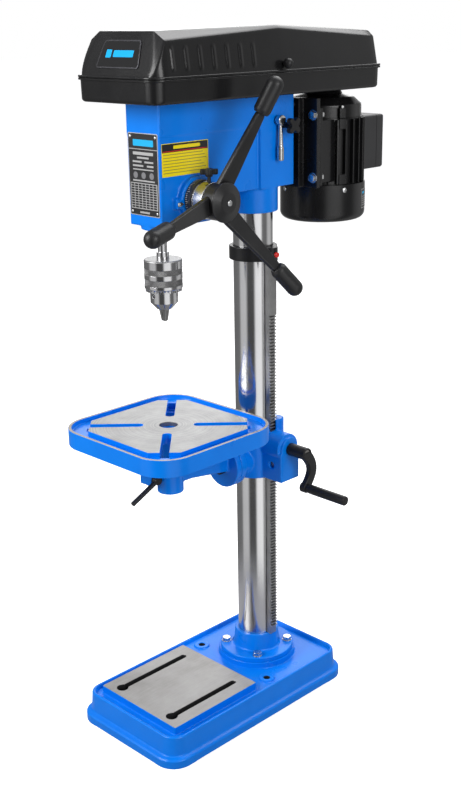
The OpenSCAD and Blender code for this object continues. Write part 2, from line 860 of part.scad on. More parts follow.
module hub_cap() {
    color([0.06, 0.06, 0.07]) translate([0, feed_y, feed_z]) difference() {
        union() {
            rod_x(112 + seated, 116, 33);
            translate([116, 0, 0]) to_x() cylinder(h = 6, r1 = 33, r2 = 17);
        }
        rod_x(111, 123, 3 + seated);
    }
}

module hub_screw() {
    color([0.75, 0.75, 0.77]) translate([0, feed_y, feed_z]) union() {
        rod_x(112 + seated, 123, 3);
        rod_x(122 + seated, 125, 5);
    }
}

module depth_ring() {
    color([0.3, 0.3, 0.32]) translate([0, feed_y, feed_z]) difference() {
        union() {
            rod_x(hub_face + gap, 64.5, 33);
            rod_x(64, 88, 31);
        }
        rod_x(hub_face, 89, 20 + running);
        translate([76, 0, 0]) rod_z(0, 34, 3 + running);
    }
}

module depth_knob() {
    color([0.06, 0.06, 0.07]) translate([76, feed_y, feed_z]) union() {
        rod_z(20 + gap, 44, 3);
        translate([0, 0, 43]) lobed_knob(9, 9, 5, 10);
    }
}

// ---- belt drive ----

module belt_tray() {
    corner = 22;
    mid_y = 35;
    flange = 6;
    color([0.05, 0.05, 0.055]) difference() {
        union() {
            translate([0, mid_y, 0]) plate(tray_width, tray_length, corner, tray_z, lid_z - gap);
            translate([0, mid_y, 0]) plate(tray_width + 2 * flange, tray_length + 8, corner + flange,
                lid_z - gap - 3, lid_z - gap);
            for (y = [-120, 180]) {
                translate([-tray_width / 2 - 9.5, 0, lid_z]) rod_y(y, y + 20, 3.4);
                block([-tray_width / 2 - 9.5, y, lid_z - gap - 3], [-tray_width / 2 - 4, y + 20, lid_z - gap]);
            }
        }
        translate([0, mid_y, 0]) plate(tray_width - 2 * sheet, tray_length - 2 * sheet, corner - sheet,
            tray_z + sheet, lid_z + cut);
        translate([0, spindle_y, 0]) rod_z(tray_z - cut, tray_z + 4, 27);
        translate([pivot_x, pivot_y, 0]) rod_z(tray_z - cut, tray_z + 4, 8);
        translate([0, motor_y, 0]) rod_z(tray_z - cut, tray_z + 4, 20);
        block([-20, motor_y - 18, tray_z - cut], [20, motor_y, tray_z + 4]);
        translate([0, motor_y - 18, 0]) rod_z(tray_z - cut, tray_z + 4, 20);
    }
}

module spindle_pulley() {
    color([0.62, 0.63, 0.65]) translate([0, spindle_y, 0]) difference() {
        union() {
            rod_z(1127, pulley_z + cut, sleeve_r);
            translate([0, 0, pulley_z]) step_pulley([66, 56, 46, 36]);
        }
        rod_z(1126, pulley_z + 4 * step_h + cut, spline_r + running);
    }
}

module idler_arm() {
    color([0.25, 0.25, 0.27]) union() {
        translate([pivot_x, pivot_y, 0]) rod_z(1141, 1162, 6);
        translate([pivot_x, pivot_y, tray_z + sheet + gap]) rotate([0, 0, -45]) linear_extrude(height = 5)
            loop_fill(14, 13, idler_swing);
        translate([0, idler_y, 0]) rod_z(1162, pulley_z + 4 * step_h + 3, 7);
    }
}

module idler_pulley() {
    color([0.62, 0.63, 0.65]) translate([0, idler_y, 0]) difference() {
        translate([0, 0, pulley_z]) step_pulley([36, 46, 56, 66]);
        rod_z(pulley_z - cut, pulley_z + 4 * step_h + cut, 7 + running);
    }
}

module motor_pulley() {
    color([0.62, 0.63, 0.65]) translate([0, motor_y, 0]) difference() {
        translate([0, 0, pulley_z]) step_pulley([46, 40, 34, motor_step_r]);
        rod_z(pulley_z - cut, pulley_z + 4 * step_h + cut, spline_r + seated);
    }
}

module spindle_belt() {
    color([0.1, 0.1, 0.1]) translate([0, spindle_y, 0]) belt(66, 36, idler_y - spindle_y, pulley_z);
}

module motor_belt() {
    color([0.1, 0.1, 0.1]) translate([0, idler_y, 0]) belt(66, motor_step_r, motor_y - idler_y, pulley_z + 3 * step_h);
}

// ---- motor ----

module motor_plate() {
    color([0.07, 0.07, 0.08]) difference() {
        union() {
            block([-75, plate_front, 987], [75, plate_front + 8, 1145]);
            block([-42, plate_front - 12, 987], [42, plate_front + cut, 1145]);
            for (sx = [-1, 1]) {
                translate([sx * rod_x, 0, rod_z]) rod_y(30, plate_front, rod_r);
            }
        }
        motor_bolt_places() rod_y(plate_front - cut, plate_front + 9, 4 + seated);
    }
}

// Puts the children at each motor foot bolt, on the plate's plane
module motor_bolt_places() {
    for (sx = [-1, 1]) {
        for (z = [1005, 1116]) {
            translate([sx * 66, 0, z]) children();
        }
    }
}

module motor_housing() {
    core = 72;
    bore = 60;
    fins = 28;
    color([0.06, 0.06, 0.065]) difference() {
        union() {
            translate([0, motor_y, 0]) rod_z(motor_z0 - 10, motor_z1, core);
            translate([0, motor_y, 0]) for (i = [0 : fins - 1]) {
                rotate([0, 0, (i + 0.5) * 360 / fins]) block([core - 3, -1.5, motor_z0], [motor_r, 1.5, motor_z1]);
            }
            for (sx = [-1, 1]) {
                block([sx * 64 - 11, plate_front + 8 + seated, 990], [sx * 64 + 11, 226, 1128]);
            }
        }
        translate([0, motor_y, 0]) rod_z(motor_z0, motor_z1 + 40, bore);
        translate([0, motor_y, 0]) rod_z(motor_z1, motor_z1 + 40, core);
        translate([0, motor_y, 0]) rod_z(motor_z0 - 11, motor_z0 + cut, spline_r + running);
        motor_bolt_places() rod_y(plate_front + 8, plate_front + 22, 4 + seated);
    }
}

module motor_end_bell() {
    color([0.06, 0.06, 0.065]) translate([0, motor_y, 0]) difference() {
        union() {
            rod_z(motor_z1 + seated, 1128, 71);
            translate([0, 0, 1128]) cylinder(h = 12, r1 = 71, r2 = 56);
        }
        rod_z(motor_z1 - cut, 1126, 58);
        rod_z(motor_z1, 1141, spline_r + running);
    }
}

module fan_cover() {
    color([0.06, 0.06, 0.065]) translate([0, motor_y, 0]) difference() {
        union() {
            rod_z(924, motor_z0 - gap, fan_cover_r);
            translate([0, 0, 915]) cylinder(h = 9, r1 = fan_cover_r - 9, r2 = fan_cover_r);
        }
        rod_z(922, motor_z0 + cut, fan_cover_r - sheet);
        rod_z(914, 923, 12);
        for (a = [0 : 30 : 330]) {
            rotate([0, 0, a]) translate([40, 0, 0]) rod_z(914, 923, 7);
        }
    }
}

module junction_box() {
    color([0.07, 0.07, 0.08]) difference() {
        block([-50, 320, 1002], [50, 383, 1103]);
        translate([0, motor_y, 0]) rod_z(1000, 1105, motor_r + 2 * seated);
        block([-47, 346, 1005], [47, 380, 1100]);
    }
}

module motor_bolts() {
    color([0.75, 0.75, 0.77]) motor_bolt_places() union() {
        rod_y(plate_front - cut, plate_front + 20, 4);
        translate([0, plate_front - 7, 0]) to_y() hex_head(7 - seated, 8);
    }
}

module rotor() {
    color([0.5, 0.5, 0.52]) translate([0, motor_y, 0]) union() {
        rod_z(928, 1228, spline_r);
        rod_z(995, 1095, 52);
        rod_z(938, 942, 66);
        for (a = [0 : 60 : 300]) {
            rotate([0, 0, a]) block([20, -1, 941], [66, 1, 962]);
        }
    }
}

// ---- tension and cover ----

module tension_lever() {
    color([0.8, 0.8, 0.82]) translate([0, lever_y, lever_z]) union() {
        rod_x(32, rear_half + 3, 6);
        rod_x(rear_half + gap, rear_half + 14, 9);
        translate([rear_half + 8, 0, -70]) cylinder(h = 70, r1 = 6.5, r2 = 3.5);
    }
}

module tension_lock() {
    color([0.06, 0.06, 0.07]) translate([0, lock_y, lock_z]) union() {
        rod_x(rear_half - 12, rear_half + 18, 5);
        translate([rear_half + 17, 0, 0]) to_x() lobed_knob(10, 9, 5.5, 11);
    }
}

// Cross section slab of the lid at depth y: foot, shoulder and top half widths and their heights
module lid_slab(y, foot, shoulder, top, z_foot, z_shoulder, z_top) {
    translate([0, y, 0]) rotate([90, 0, 0]) linear_extrude(height = 0.02)
        polygon([[-foot, z_foot], [foot, z_foot], [shoulder, z_shoulder], [top, z_top], [-top, z_top], [-shoulder, z_shoulder]]);
}

// Solid lid form, shrunk on every side by s
module lid_form(s, z0) {
    hull() {
        lid_slab(-242 + s, 97 - s, 97 - s, 97 - s, z0, z0 + 0.02, z0 + 0.02);
        lid_slab(-214 + s, 98 - s, 89.3 - s, 65.5 - s, z0, 1253 - s, 1267 - s);
        lid_slab(45, 98 - s, 87.5 - s, 87 - s, z0, lid_top - 0.5 - s, lid_top - s);
        lid_slab(305 - s, 97 - s, 85 - s, 72 - s, z0, 1248 - s, 1258 - s);
        lid_slab(313 - s, 97 - s, 97 - s, 97 - s, z0, z0 + 0.02, z0 + 0.02);
    }
}

module cover_lid() {
    mid_y = 35;
    flange = 6;
    color([0.05, 0.05, 0.055]) difference() {
        union() {
            lid_form(0, lid_z + 2);
            translate([0, mid_y, 0]) plate(tray_width + 2 * flange, tray_length + 8, 28, lid_z, lid_z + 4);
            for (y = [-99, 201]) {
                translate([-tray_width / 2 - 9.5, 0, lid_z]) rod_y(y, y + 20, 3.4);
                block([-tray_width / 2 - 9.5, y, lid_z + 0.2], [-tray_width / 2 - 4, y + 20, lid_z + 3.4]);
            }
        }
        lid_form(sheet + 0.5, lid_z - cut);
        translate([0, 47.7, lid_z + 14]) rod_x(90, 99, 3 + seated);
    }
}

module lid_badge() {
    color([0.02, 0.02, 0.025]) translate([0, -228.2, 1232.5]) rotate([-21.8, 0, 0])
        block([-52, -1.4, -25], [52, -0.1, 25]);
}

module lid_knob() {
    color([0.05, 0.05, 0.055]) translate([0, 47.7, lid_z + 14]) union() {
        rod_x(94, 101, 3);
        translate([106, 0, 0]) sphere(r = 8.5);
    }
}

base();
column_flange();
flange_bolts();
column();
rack();
rack_collar();
collar_screw();
table_bracket();
lift_gear();
crank_shaft();
crank_arm();
crank_grip();
column_clamp_lever();
table_arm();
tilt_bolt();
table();
table_clamp_lever();
head_casting();
nameplate();
side_label();
depth_pointer();
spring_housing();
return_spring();
switch_box();
switch_rocker();
drive_bearings();
quill();
quill_bearings();
spindle();
chuck_body();
chuck_sleeve();
chuck_jaw_1();
chuck_jaw_2();
chuck_jaw_3();
feed_shaft();
feed_hub();
feed_grips();
hub_cap();
hub_screw();
depth_ring();
depth_knob();
belt_tray();
spindle_pulley();
idler_arm();
idler_pulley();
motor_plate();
motor_housing();
motor_end_bell();
fan_cover();
junction_box();
motor_bolts();
rotor();
motor_pulley();
motor_belt();
spindle_belt();
tension_lever();
tension_lock();
cover_lid();
lid_badge();
lid_knob();
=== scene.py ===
"""Bench drill press, dressed for display: its pieces are made or finished in the order of assembly."""

import bmesh
import bpy
import numpy as np
from mathutils import Matrix, Vector
from mathutils.geometry import tessellate_polygon


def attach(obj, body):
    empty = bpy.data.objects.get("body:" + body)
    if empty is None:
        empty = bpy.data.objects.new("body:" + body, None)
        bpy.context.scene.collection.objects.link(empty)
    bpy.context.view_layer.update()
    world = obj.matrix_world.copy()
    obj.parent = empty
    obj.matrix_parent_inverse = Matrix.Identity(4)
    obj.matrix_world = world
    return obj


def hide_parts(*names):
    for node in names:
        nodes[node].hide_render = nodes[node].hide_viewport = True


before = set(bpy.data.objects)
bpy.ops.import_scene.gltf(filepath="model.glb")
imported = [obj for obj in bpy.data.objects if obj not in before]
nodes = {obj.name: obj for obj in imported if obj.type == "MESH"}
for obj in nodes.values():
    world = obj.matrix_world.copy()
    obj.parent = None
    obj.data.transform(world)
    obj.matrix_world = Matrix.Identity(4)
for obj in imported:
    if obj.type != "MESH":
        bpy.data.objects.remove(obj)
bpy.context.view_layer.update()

# ---- base ----
# A grey iron casting in bright blue enamel: a flared foot, a raised rim round a shallow drip tray,
# and a work pad that is ground bright on top, with two keyhole slots. Two ringed bosses take bench bolts.
MM = 0.001


def arcs(corners, radii, steps=4, closed=True):
    """Line through corners, each turned into an arc that is tangent to its two sides."""
    corners = np.asarray(corners, float)
    radii = np.broadcast_to(np.asarray(radii, float), len(corners))
    parts = []
    for i, (corner, radius) in enumerate(zip(corners, radii)):
        if radius == 0 or (not closed and i in (0, len(corners) - 1)):
            parts.append(corner[None])
            continue
        a = corner - corners[i - 1]
        b = corners[(i + 1) % len(corners)] - corner
        a /= np.hypot(*a)
        b /= np.hypot(*b)
        turn = np.arctan2(a[0] * b[1] - a[1] * b[0], a @ b)
        left = np.array([-a[1], a[0]]) * np.sign(turn)
        centre = corner - a * abs(radius * np.tan(turn / 2)) + left * radius
        swing = np.linspace(0, abs(turn), steps + 1)[:, None]
        parts.append(centre + radius * (a * np.sin(swing) - left * np.cos(swing)))
    return np.vstack(parts)


def oblong(half_x, half_y, radius, steps=6, middle=(0, 0)):
    """Rectangle with round corners, as one closed outline."""
    corners = [[-half_x, -half_y], [half_x, -half_y], [half_x, half_y], [-half_x, half_y]]
    return arcs(corners, radius, steps) + middle


def circle(radius, middle=(0, 0), steps=48):
    """Points of a circle: cosine and sine of evenly spaced turns."""
    turn = np.linspace(0, 2 * np.pi, steps, endpoint=False)
    return np.c_[np.cos(turn), np.sin(turn)] * radius + middle


def spread(outline, out):
    """Outline moved outwards: each point goes along its two sides' mean normal, equally far from both."""
    before = outline - np.roll(outline, 1, 0)
    after = np.roll(outline, -1, 0) - outline
    normals = [np.c_[s[:, 1], -s[:, 0]] / np.hypot(s[:, 0], s[:, 1])[:, None] for s in (before, after)]
    mitre = normals[0] + normals[1]
    return outline + out * mitre / np.maximum((mitre * mitre).sum(1, keepdims=True) / 2, 0.3)


def level(outline, z):
    """A flat outline lifted to a height, which may differ from point to point."""
    return np.c_[outline, np.broadcast_to(z, len(outline))]


def skin(rings, mark=0, loop=False):
    """Quads over a grid of points, ring by ring and closed round; loop joins the last ring to the first."""
    rings = np.asarray(rings, float)
    count, size = rings.shape[:2]
    i = np.arange(count if loop else count - 1)[:, None]
    j = np.arange(size)[None, :]
    k, n = (i + 1) % count, (j + 1) % size
    faces = np.stack([i * size + j, i * size + n, k * size + n, k * size + j], -1)
    return rings.reshape(-1, 3), faces.reshape(-1, 4), mark


def flat(loops, z, mark=0):
    """Level face inside the first outline and outside the others."""
    faces = tessellate_polygon([level(loop, 0).tolist() for loop in loops])
    return level(np.vstack(loops), z), np.array(faces), mark


def edge_line(rise, radius):
    """Profile of a vertical wall whose two edges are rounded, as pairs of inset and height."""
    turn = np.linspace(0, np.pi / 2, 4)
    low = np.c_[radius * (np.cos(turn[::-1]) - 1), rise[0] + radius * (1 - np.sin(turn[::-1]))]
    high = np.c_[radius * (np.cos(turn) - 1), rise[1] - radius * (1 - np.sin(turn))]
    return np.vstack([low, high])


def plate(outline, holes, rise, radius=1.0, top=0, side=0):
    """Closed plate between two heights with rounded edges, and holes with edges rounded the same way."""
    profile = edge_line(rise, radius)
    walls = [skin([level(spread(outline, inset), z) for inset, z in profile], side)]
    walls += [skin([level(spread(hole, -inset), z) for inset, z in profile], side) for hole in holes]
    ends = [[spread(outline, -radius)] + [spread(hole, radius) for hole in holes]] * 2
    return walls + [flat(ends[0], rise[0], side), flat(ends[1], rise[1], top)]


def lathe(profile, steps=64, mark=0, loop=False):
    """Profile of radius and height turned round Z; loop closes the profile into a ring."""
    turn = np.linspace(0, 2 * np.pi, steps, endpoint=False)
    radius, height = np.asarray(profile, float).T[:, :, None]
    rings = np.stack([radius * np.cos(turn), radius * np.sin(turn), height + 0 * turn], -1)
    return skin(rings, mark, loop)


def placed(patches, at=(0, 0, 0), axis="z", turn=None):
    """Patches turned by a matrix, then with their Z laid along the named axis, then moved."""
    order = {"z": (0, 1, 2), "x": (2, 0, 1), "y": (1, 2, 0)}[axis]
    spin = np.eye(3) if turn is None else np.array(turn)
    return [((points @ spin.T)[:, order] + at, faces, mark) for points, faces, mark in patches]


def solid(name, shells, materials, sharp=34.0):
    """One object from closed shells of patches: welded, faced outwards, smooth up to the sharp angle."""
    whole = bmesh.new()
    for shell in shells:
        work = bmesh.new()
        for points, faces, mark in shell:
            patch = bpy.data.meshes.new(name)
            patch.from_pydata((points * MM).tolist(), [], faces.tolist())
            patch.polygons.foreach_set("material_index", np.full(len(faces), mark, np.int32))
            work.from_mesh(patch)
            bpy.data.meshes.remove(patch)
        bmesh.ops.remove_doubles(work, verts=work.verts, dist=2e-6)
        bmesh.ops.recalc_face_normals(work, faces=work.faces)
        joined = bpy.data.meshes.new(name)
        work.to_mesh(joined)
        work.free()
        whole.from_mesh(joined)
        bpy.data.meshes.remove(joined)
    mesh = bpy.data.meshes.new(name)
    whole.to_mesh(mesh)
    whole.free()
    mesh.shade_smooth()
    mesh.set_sharp_from_angle(angle=np.radians(sharp))
    for material in materials:
        mesh.materials.append(material)
    made = bpy.data.objects.new(name, mesh)
    bpy.context.scene.collection.objects.link(made)
    weigh = made.modifiers.new("even_normals", "WEIGHTED_NORMAL")
    weigh.keep_sharp = True
    return made


def add(tree, kind, inputs=(), **settings):
    """One shader node with its settings, and its inputs as values or other nodes' outputs."""
    made = tree.nodes.new("ShaderNode" + kind)
    for key, value in settings.items():
        setattr(made, key, value)
    for key, value in dict(inputs).items():
        if isinstance(value, bpy.types.NodeSocket):
            tree.links.new(value, made.inputs[key])
        else:
            made.inputs[key].default_value = value
    return made


def pattern(name, build):
    """Node group that takes a place and puts out a tone from 0 to 1 and a height."""
    group = bpy.data.node_groups.new(name, "ShaderNodeTree")
    group.interface.new_socket("Place", in_out="INPUT", socket_type="NodeSocketVector")
    group.interface.new_socket("Scale", in_out="INPUT", socket_type="NodeSocketFloat")
    group.interface.new_socket("Tone", in_out="OUTPUT", socket_type="NodeSocketFloat")
    group.interface.new_socket("Height", in_out="OUTPUT", socket_type="NodeSocketFloat")
    entry = group.nodes.new("NodeGroupInput")
    leave = group.nodes.new("NodeGroupOutput")
    tone, height = build(group, entry.outputs["Place"], entry.outputs["Scale"])
    group.links.new(tone, leave.inputs["Tone"])
    group.links.new(height, leave.inputs["Height"])
    return group


def orange_peel(tree, place, scale):
    """Sprayed enamel on sand cast iron: fine rounded droplets over slow waves of the casting."""
    fine = add(tree, "TexNoise", {"Vector": place, "Scale": scale, "Detail": 2.0, "Roughness": 0.45})
    slow = add(tree, "TexNoise", {"Vector": place, "Scale": 16.0, "Detail": 3.0, "Roughness": 0.55})
    both = add(tree, "Math", {0: fine.outputs[0], 1: 0.35, 2: slow.outputs[0]}, operation="MULTIPLY_ADD")
    return slow.outputs[0], both.outputs[0]


def grinding(tree, place, scale):
    """Ground metal: long thin scratches along Y with a soft cloudiness under them."""
    drawn = add(tree, "Mapping", {"Vector": place, "Scale": (1.0, 0.035, 1.0)})
    lines = add(tree, "TexNoise",
                {"Vector": drawn.outputs[0], "Scale": scale, "Detail": 4.0, "Roughness": 0.7})
    cloud = add(tree, "TexNoise", {"Vector": place, "Scale": 9.0, "Detail": 4.0, "Roughness": 0.6})
    both = add(tree, "Math", {0: lines.outputs[0], 1: 0.45, 2: cloud.outputs[0]}, operation="MULTIPLY_ADD")
    tone = add(tree, "MapRange", {0: both.outputs[0], 1: 0.45, 2: 1.0, 3: 0.0, 4: 1.0})
    return tone.outputs[0], lines.outputs[0]


PEEL = pattern("sprayed_enamel", orange_peel)
GROUND = pattern("grinding_lines", grinding)


def surface(name, group, colours, rough, scale=700.0, depth=0.00003, metal=0.0, coat=0.0, soft=0.0, **more):
    """Material whose colour and roughness follow a pattern's tone and whose bump follows its height."""
    made = bpy.data.materials.new(name)
    made.use_nodes = True
    tree = made.node_tree
    shader = tree.nodes["Principled BSDF"]
    place = add(tree, "TexCoord").outputs["Object"]
    shift = add(tree, "Mapping", {"Vector": place, "Location": more.get("shift", (0.0, 0.0, 0.0)),
                                  "Rotation": more.get("turn", (0.0, 0.0, 0.0))})
    marks = add(tree, "Group", node_tree=group)
    tree.links.new(shift.outputs[0], marks.inputs["Place"])
    marks.inputs["Scale"].default_value = scale
    tint = add(tree, "Mix", {0: marks.outputs["Tone"], 6: (*colours[0], 1), 7: (*colours[1], 1)},
               data_type="RGBA")
    gloss = add(tree, "MapRange", {0: marks.outputs["Tone"], 3: rough[0], 4: rough[1]})
    bump = add(tree, "Bump", {"Height": marks.outputs["Height"], "Distance": depth, "Strength": 1.0})
    if soft:
        rounded = add(tree, "Bevel", {"Radius": soft}, samples=4)
        tree.links.new(rounded.outputs[0], bump.inputs["Normal"])
    for source, socket in ((tint.outputs[2], "Base Color"), (gloss.outputs[0], "Roughness"),
                           (bump.outputs[0], "Normal")):
        tree.links.new(source, shader.inputs[socket])
    shader.inputs["Metallic"].default_value = metal
    shader.inputs["Coat Weight"].default_value = coat
    shader.inputs["Coat Roughness"].default_value = 0.06
    shader.inputs["Specular IOR Level"].default_value = more.get("specular", 0.5)
    return made


def dress(material, *names):
    """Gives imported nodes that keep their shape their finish."""
    for name in names:
        mesh = nodes[name].data
        mesh.materials.clear()
        mesh.materials.append(material)
        nodes[name].material_slots[0].material = material


BLUE, DEEP_BLUE = (0.0, 0.205, 0.80), (0.0, 0.155, 0.66)
blue_enamel = surface("blue_enamel", PEEL, (DEEP_BLUE, BLUE), (0.24, 0.34), coat=0.1, specular=0.22)
pad_steel = surface("pad_ground_steel", GROUND, ((0.17, 0.165, 0.16), (0.38, 0.375, 0.37)), (0.32, 0.48),
                    900.0, 0.00002, metal=0.9)
# Near black for the walls of the keyhole slots and the bench bolt bores: painted shade for these deep
# recesses, not a finish of the iron.
recess_painted_shade = surface("raw_slot_iron", PEEL, ((0.004, 0.004, 0.005), (0.012, 0.012, 0.013)), (0.6, 0.8))

BASE_MIDDLE = (0, -49)
PAD_MIDDLE = (0, -147.55)
NOTCH_RISE = 7.0


def base_ring(out, z, notched=False):
    """Outline of the base moved outwards, with its straight sides cut back between the four feet."""
    half_x, half_y, radius = 124 + out, 227 + out * 7 / 6, max(28 + out, 2)
    side_x, side_y = np.array([-88, -84.5, 84.5, 88]), np.array([-183, -179.5, 179.5, 183])
    corner = [oblong(half_x, half_y, radius, 8)[k * 9:(k + 1) * 9] for k in range(4)]
    sides = [np.c_[side_x, 0 * side_x - half_y], np.c_[0 * side_y + half_x, side_y],
             np.c_[side_x[::-1], 0 * side_x + half_y], np.c_[0 * side_y - half_x, side_y[::-1]]]
    ring = np.vstack([part for pair in zip(corner, sides) for part in pair])
    clear = (np.abs(ring[:, 0]) < 86) & (np.abs(ring[:, 1]) > half_y - 1)
    clear |= (np.abs(ring[:, 1]) < 181) & (np.abs(ring[:, 0]) > half_x - 1)
    return level(ring + BASE_MIDDLE, z + NOTCH_RISE * clear * notched)


def keyhole(x):
    """Slot outline whose front end widens into a round hole for a bolt head."""
    neck = np.arcsin(6 / 11)
    turn = np.linspace(np.pi / 2 + neck, 2.5 * np.pi - neck, 25)
    head = np.c_[np.cos(turn), np.sin(turn)] * 11 + (x, -231)
    turn = np.linspace(0, np.pi, 13)
    return np.vstack([head, np.c_[np.cos(turn), np.sin(turn)] * 6 + (x, -72)])


wall = arcs([[0, 0], [12, 0], [12, 15.5], [9.5, 18.2], [3.2, 20.5], [0.6, 58], [-4.2, 58], [-7.6, 50]],
            [0, 1.5, 2.5, 2, 4, 3.4, 3, 3.5], 3, closed=False)
slots = [keyhole(-70), keyhole(70)]
pad = oblong(103.6, 105.95, 2.5, 4, PAD_MIDDLE)
bench = [circle(15, (x, 0)) for x in (-92, 92)]
bores = [circle(6.5, (x, 0)) for x in (-92, 92)]
seat = circle(76.4, (0, 68), 72)
outer = [base_ring(out, z, z < 1) for out, z in wall]
inner = [base_ring(-8, 0, True), base_ring(-8, 42)]
shell = [skin(outer), skin([outer[0], inner[0]]), skin(inner)]
cuts = [spread(pad, 2), *[spread(boss, 2.5) for boss in bench], spread(seat, 3)]
shell.append(flat([outer[-1][:, :2], *cuts], 50))
shell.append(flat([inner[1][:, :2], *slots, *bench], 42))
pad_line = [(2.0, 50), (0.9, 50.4), (0.3, 51.2), (0, 52.5), (0, 64.4), (-0.5, 65)]
shell.append(skin([level(spread(pad, o), z) for o, z in pad_line]))
shell.append(flat([spread(pad, -0.5), *[spread(s, 0.4) for s in slots]], 65, 1))
# Slot walls below the ground edge take mark 2, the near black painted shade.
for slot in slots:
    shell.append(skin([level(spread(slot, 0.4), 65), level(slot, 64.5)], 1))
    shell.append(skin([level(slot, 64.5), level(slot, 42)], 2))
boss_line = [(2.5, 50), (1, 50.5), (0.2, 51.6), (-0.2, 52.8), (-1.2, 53.5)]
# Bore walls take mark 2, the near black painted shade.
for boss, bore in zip(bench, bores):
    mouth = [level(spread(bore, 1.2), 53.5), level(bore, 52.4)]
    shell.append(skin([level(spread(boss, o), z) for o, z in boss_line] + mouth))
    shell.append(skin([level(bore, 52.4), level(bore, 0)], 2))
    shell.append(flat([boss, bore], 0))
    shell.append(skin([level(boss, 0), level(boss, 42)]))
seat_line = [(3, 50), (1, 50.8), (0, 52.5), (0, 61.2), (-0.8, 62)]
shell.append(skin([level(spread(seat, o), z) for o, z in seat_line]))
shell.append(flat([spread(seat, -0.8)], 62))
base_casting = solid("base_casting", [shell], [blue_enamel, pad_steel, recess_painted_shade])
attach(base_casting, "stand")
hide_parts("base")

# ---- column flange and its bolts ----
# A turned iron flange in the same enamel, pressed on the tube and held to the base by four zinc plated
# hexagon bolts on washers.
COLUMN = (0, 68, 0)
flange_line = arcs([[36.6, 62], [73.4, 62], [73.4, 72], [46.5, 72], [43.2, 106], [36.6, 106]],
                   [0, 0.8, 2.2, 4, 1.6, 0.6], 4)
column_flange = solid("flange_casting", [placed([lathe(flange_line, 96, loop=True)], COLUMN)], [blue_enamel])
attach(column_flange, "stand")
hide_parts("column_flange")


def zinc_clouds(tree, place, scale):
    """Plated steel: small soft clouds and a trace of the turning under them."""
    cloud = add(tree, "TexNoise", {"Vector": place, "Scale": scale, "Detail": 3.0, "Roughness": 0.6})
    fine = add(tree, "TexNoise", {"Vector": place, "Scale": 2600.0, "Detail": 1.0})
    return cloud.outputs[0], fine.outputs[0]


ZINC = pattern("plated_clouds", zinc_clouds)
zinc = surface("zinc_plate", ZINC, ((0.50, 0.50, 0.49), (0.80, 0.81, 0.83)), (0.18, 0.34), 180.0, 0.000008,
               metal=1.0)


def hexagon(height, corner, base=0.0, mark=0):
    """Bolt head along Z: a six sided wall cut by a flat cone on top, so each side ends in a low arc."""
    turn = np.linspace(0, 2 * np.pi, 60, endpoint=False)
    apothem = corner * np.cos(np.pi / 6)
    wall = apothem / np.cos((turn + np.pi / 6) % (np.pi / 3) - np.pi / 6)
    rim = height - (wall - apothem * 0.97) * 0.55
    line = [(0, base), (wall, base), (wall, rim), (apothem * 0.93, height), (0, height)]
    return [skin([np.c_[r * np.cos(turn), r * np.sin(turn), z + 0 * turn] for r, z in line], mark)]


def washer(radius, bore, thick, base=0.0):
    """Flat ring with soft edges."""
    line = arcs([[bore, base], [radius, base], [radius, base + thick], [bore, base + thick]],
                [0, 0.3, 0.3, 0], 2)
    return [lathe(line, 40, loop=True)]


BOLT_CIRCLE = 61.8
bolts = []
for spot in circle(BOLT_CIRCLE, COLUMN[:2], 8)[1::2]:
    at = (*spot, 0)
    bolts += [placed(washer(9.4, 5.1, 1.4, 72), at), placed(hexagon(80, 8.8, 73.4), at)]
flange_bolts = solid("flange_bolt_heads", bolts, [zinc], 24)
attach(flange_bolts, "stand")
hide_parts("flange_bolts")

# ---- column ----
# Drawn steel tube, ground and polished round its whole length, so it mirrors the room in upright bands.


def tube_polish(tree, place, scale):
    """Polished tube: very fine rings left by centreless grinding and a faint waviness along the length."""
    drawn = add(tree, "Mapping", {"Vector": place, "Scale": (0.02, 0.02, 1.0)})
    rings = add(tree, "TexNoise",
                {"Vector": drawn.outputs[0], "Scale": scale, "Detail": 2.0, "Roughness": 0.6})
    wave = add(tree, "TexNoise", {"Vector": place, "Scale": 7.0, "Detail": 2.0})
    return wave.outputs[0], rings.outputs[0]


POLISH = pattern("polished_tube", tube_polish)
column_chrome = surface("polished_column", POLISH, ((0.56, 0.56, 0.57), (0.70, 0.70, 0.71)), (0.12, 0.20),
                        2600.0, 0.000004, metal=1.0)
column_line = arcs([[30.5, 62], [36.5, 62], [36.5, 1098], [30.5, 1098]], [0, 0, 0.8, 0], 2)
column_tube = solid("column_tube", [placed([lathe(column_line, 160, loop=True)], COLUMN)], [column_chrome])
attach(column_tube, "stand")
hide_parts("column")

# ---- rack, upper collar and its red screw ----
# The rack is a milled steel bar. It turns with the table round the column, held by the flange below and by
# a black cast collar above, which a small red screw steadies.
milled_steel = surface("milled_steel", GROUND, ((0.22, 0.22, 0.22), (0.50, 0.50, 0.50)), (0.26, 0.42), 1300.0,
                       0.00001, metal=1.0, soft=0.0005)
dress(milled_steel, "rack")
satin_black = surface("satin_black_enamel", PEEL, ((0.004, 0.004, 0.0045), (0.012, 0.012, 0.013)),
                      (0.30, 0.42), 900.0, 0.00003, coat=0.05, specular=0.25)
turn = np.linspace(0, 2 * np.pi, 96, endpoint=False)
on_bulge = (42.9 * np.cos(turn) + 14 > 44.0)[:, None]
collar = np.where(on_bulge, 14, 44) * np.c_[np.cos(turn), np.sin(turn)]
collar = collar + np.where(on_bulge, (42.9, 0), (0, 0))
collar_hole = circle(36.8, steps=96)
rack_collar = solid("rack_collar_ring", [placed(plate(collar, [collar_hole], (864, 889), 1.6), COLUMN)],
                    [satin_black])
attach(rack_collar, "rack_set")
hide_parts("rack_collar")


def slotted_screw(radius, thick, slot=0.8, deep=0.7):
    """Round screw head along Z with a domed top and one straight slot across it."""
    line = arcs([[0, 0], [radius, 0], [radius, thick], [0, thick]], [0, 0, thick * 0.45, 0], 4, closed=False)
    grid, faces, mark = lathe(line, 64)
    in_slot = (np.abs(grid[:, 1]) < slot) & (grid[:, 2] > thick - 0.05)
    grid[:, 2] -= deep * in_slot
    return [(grid, faces, mark)]


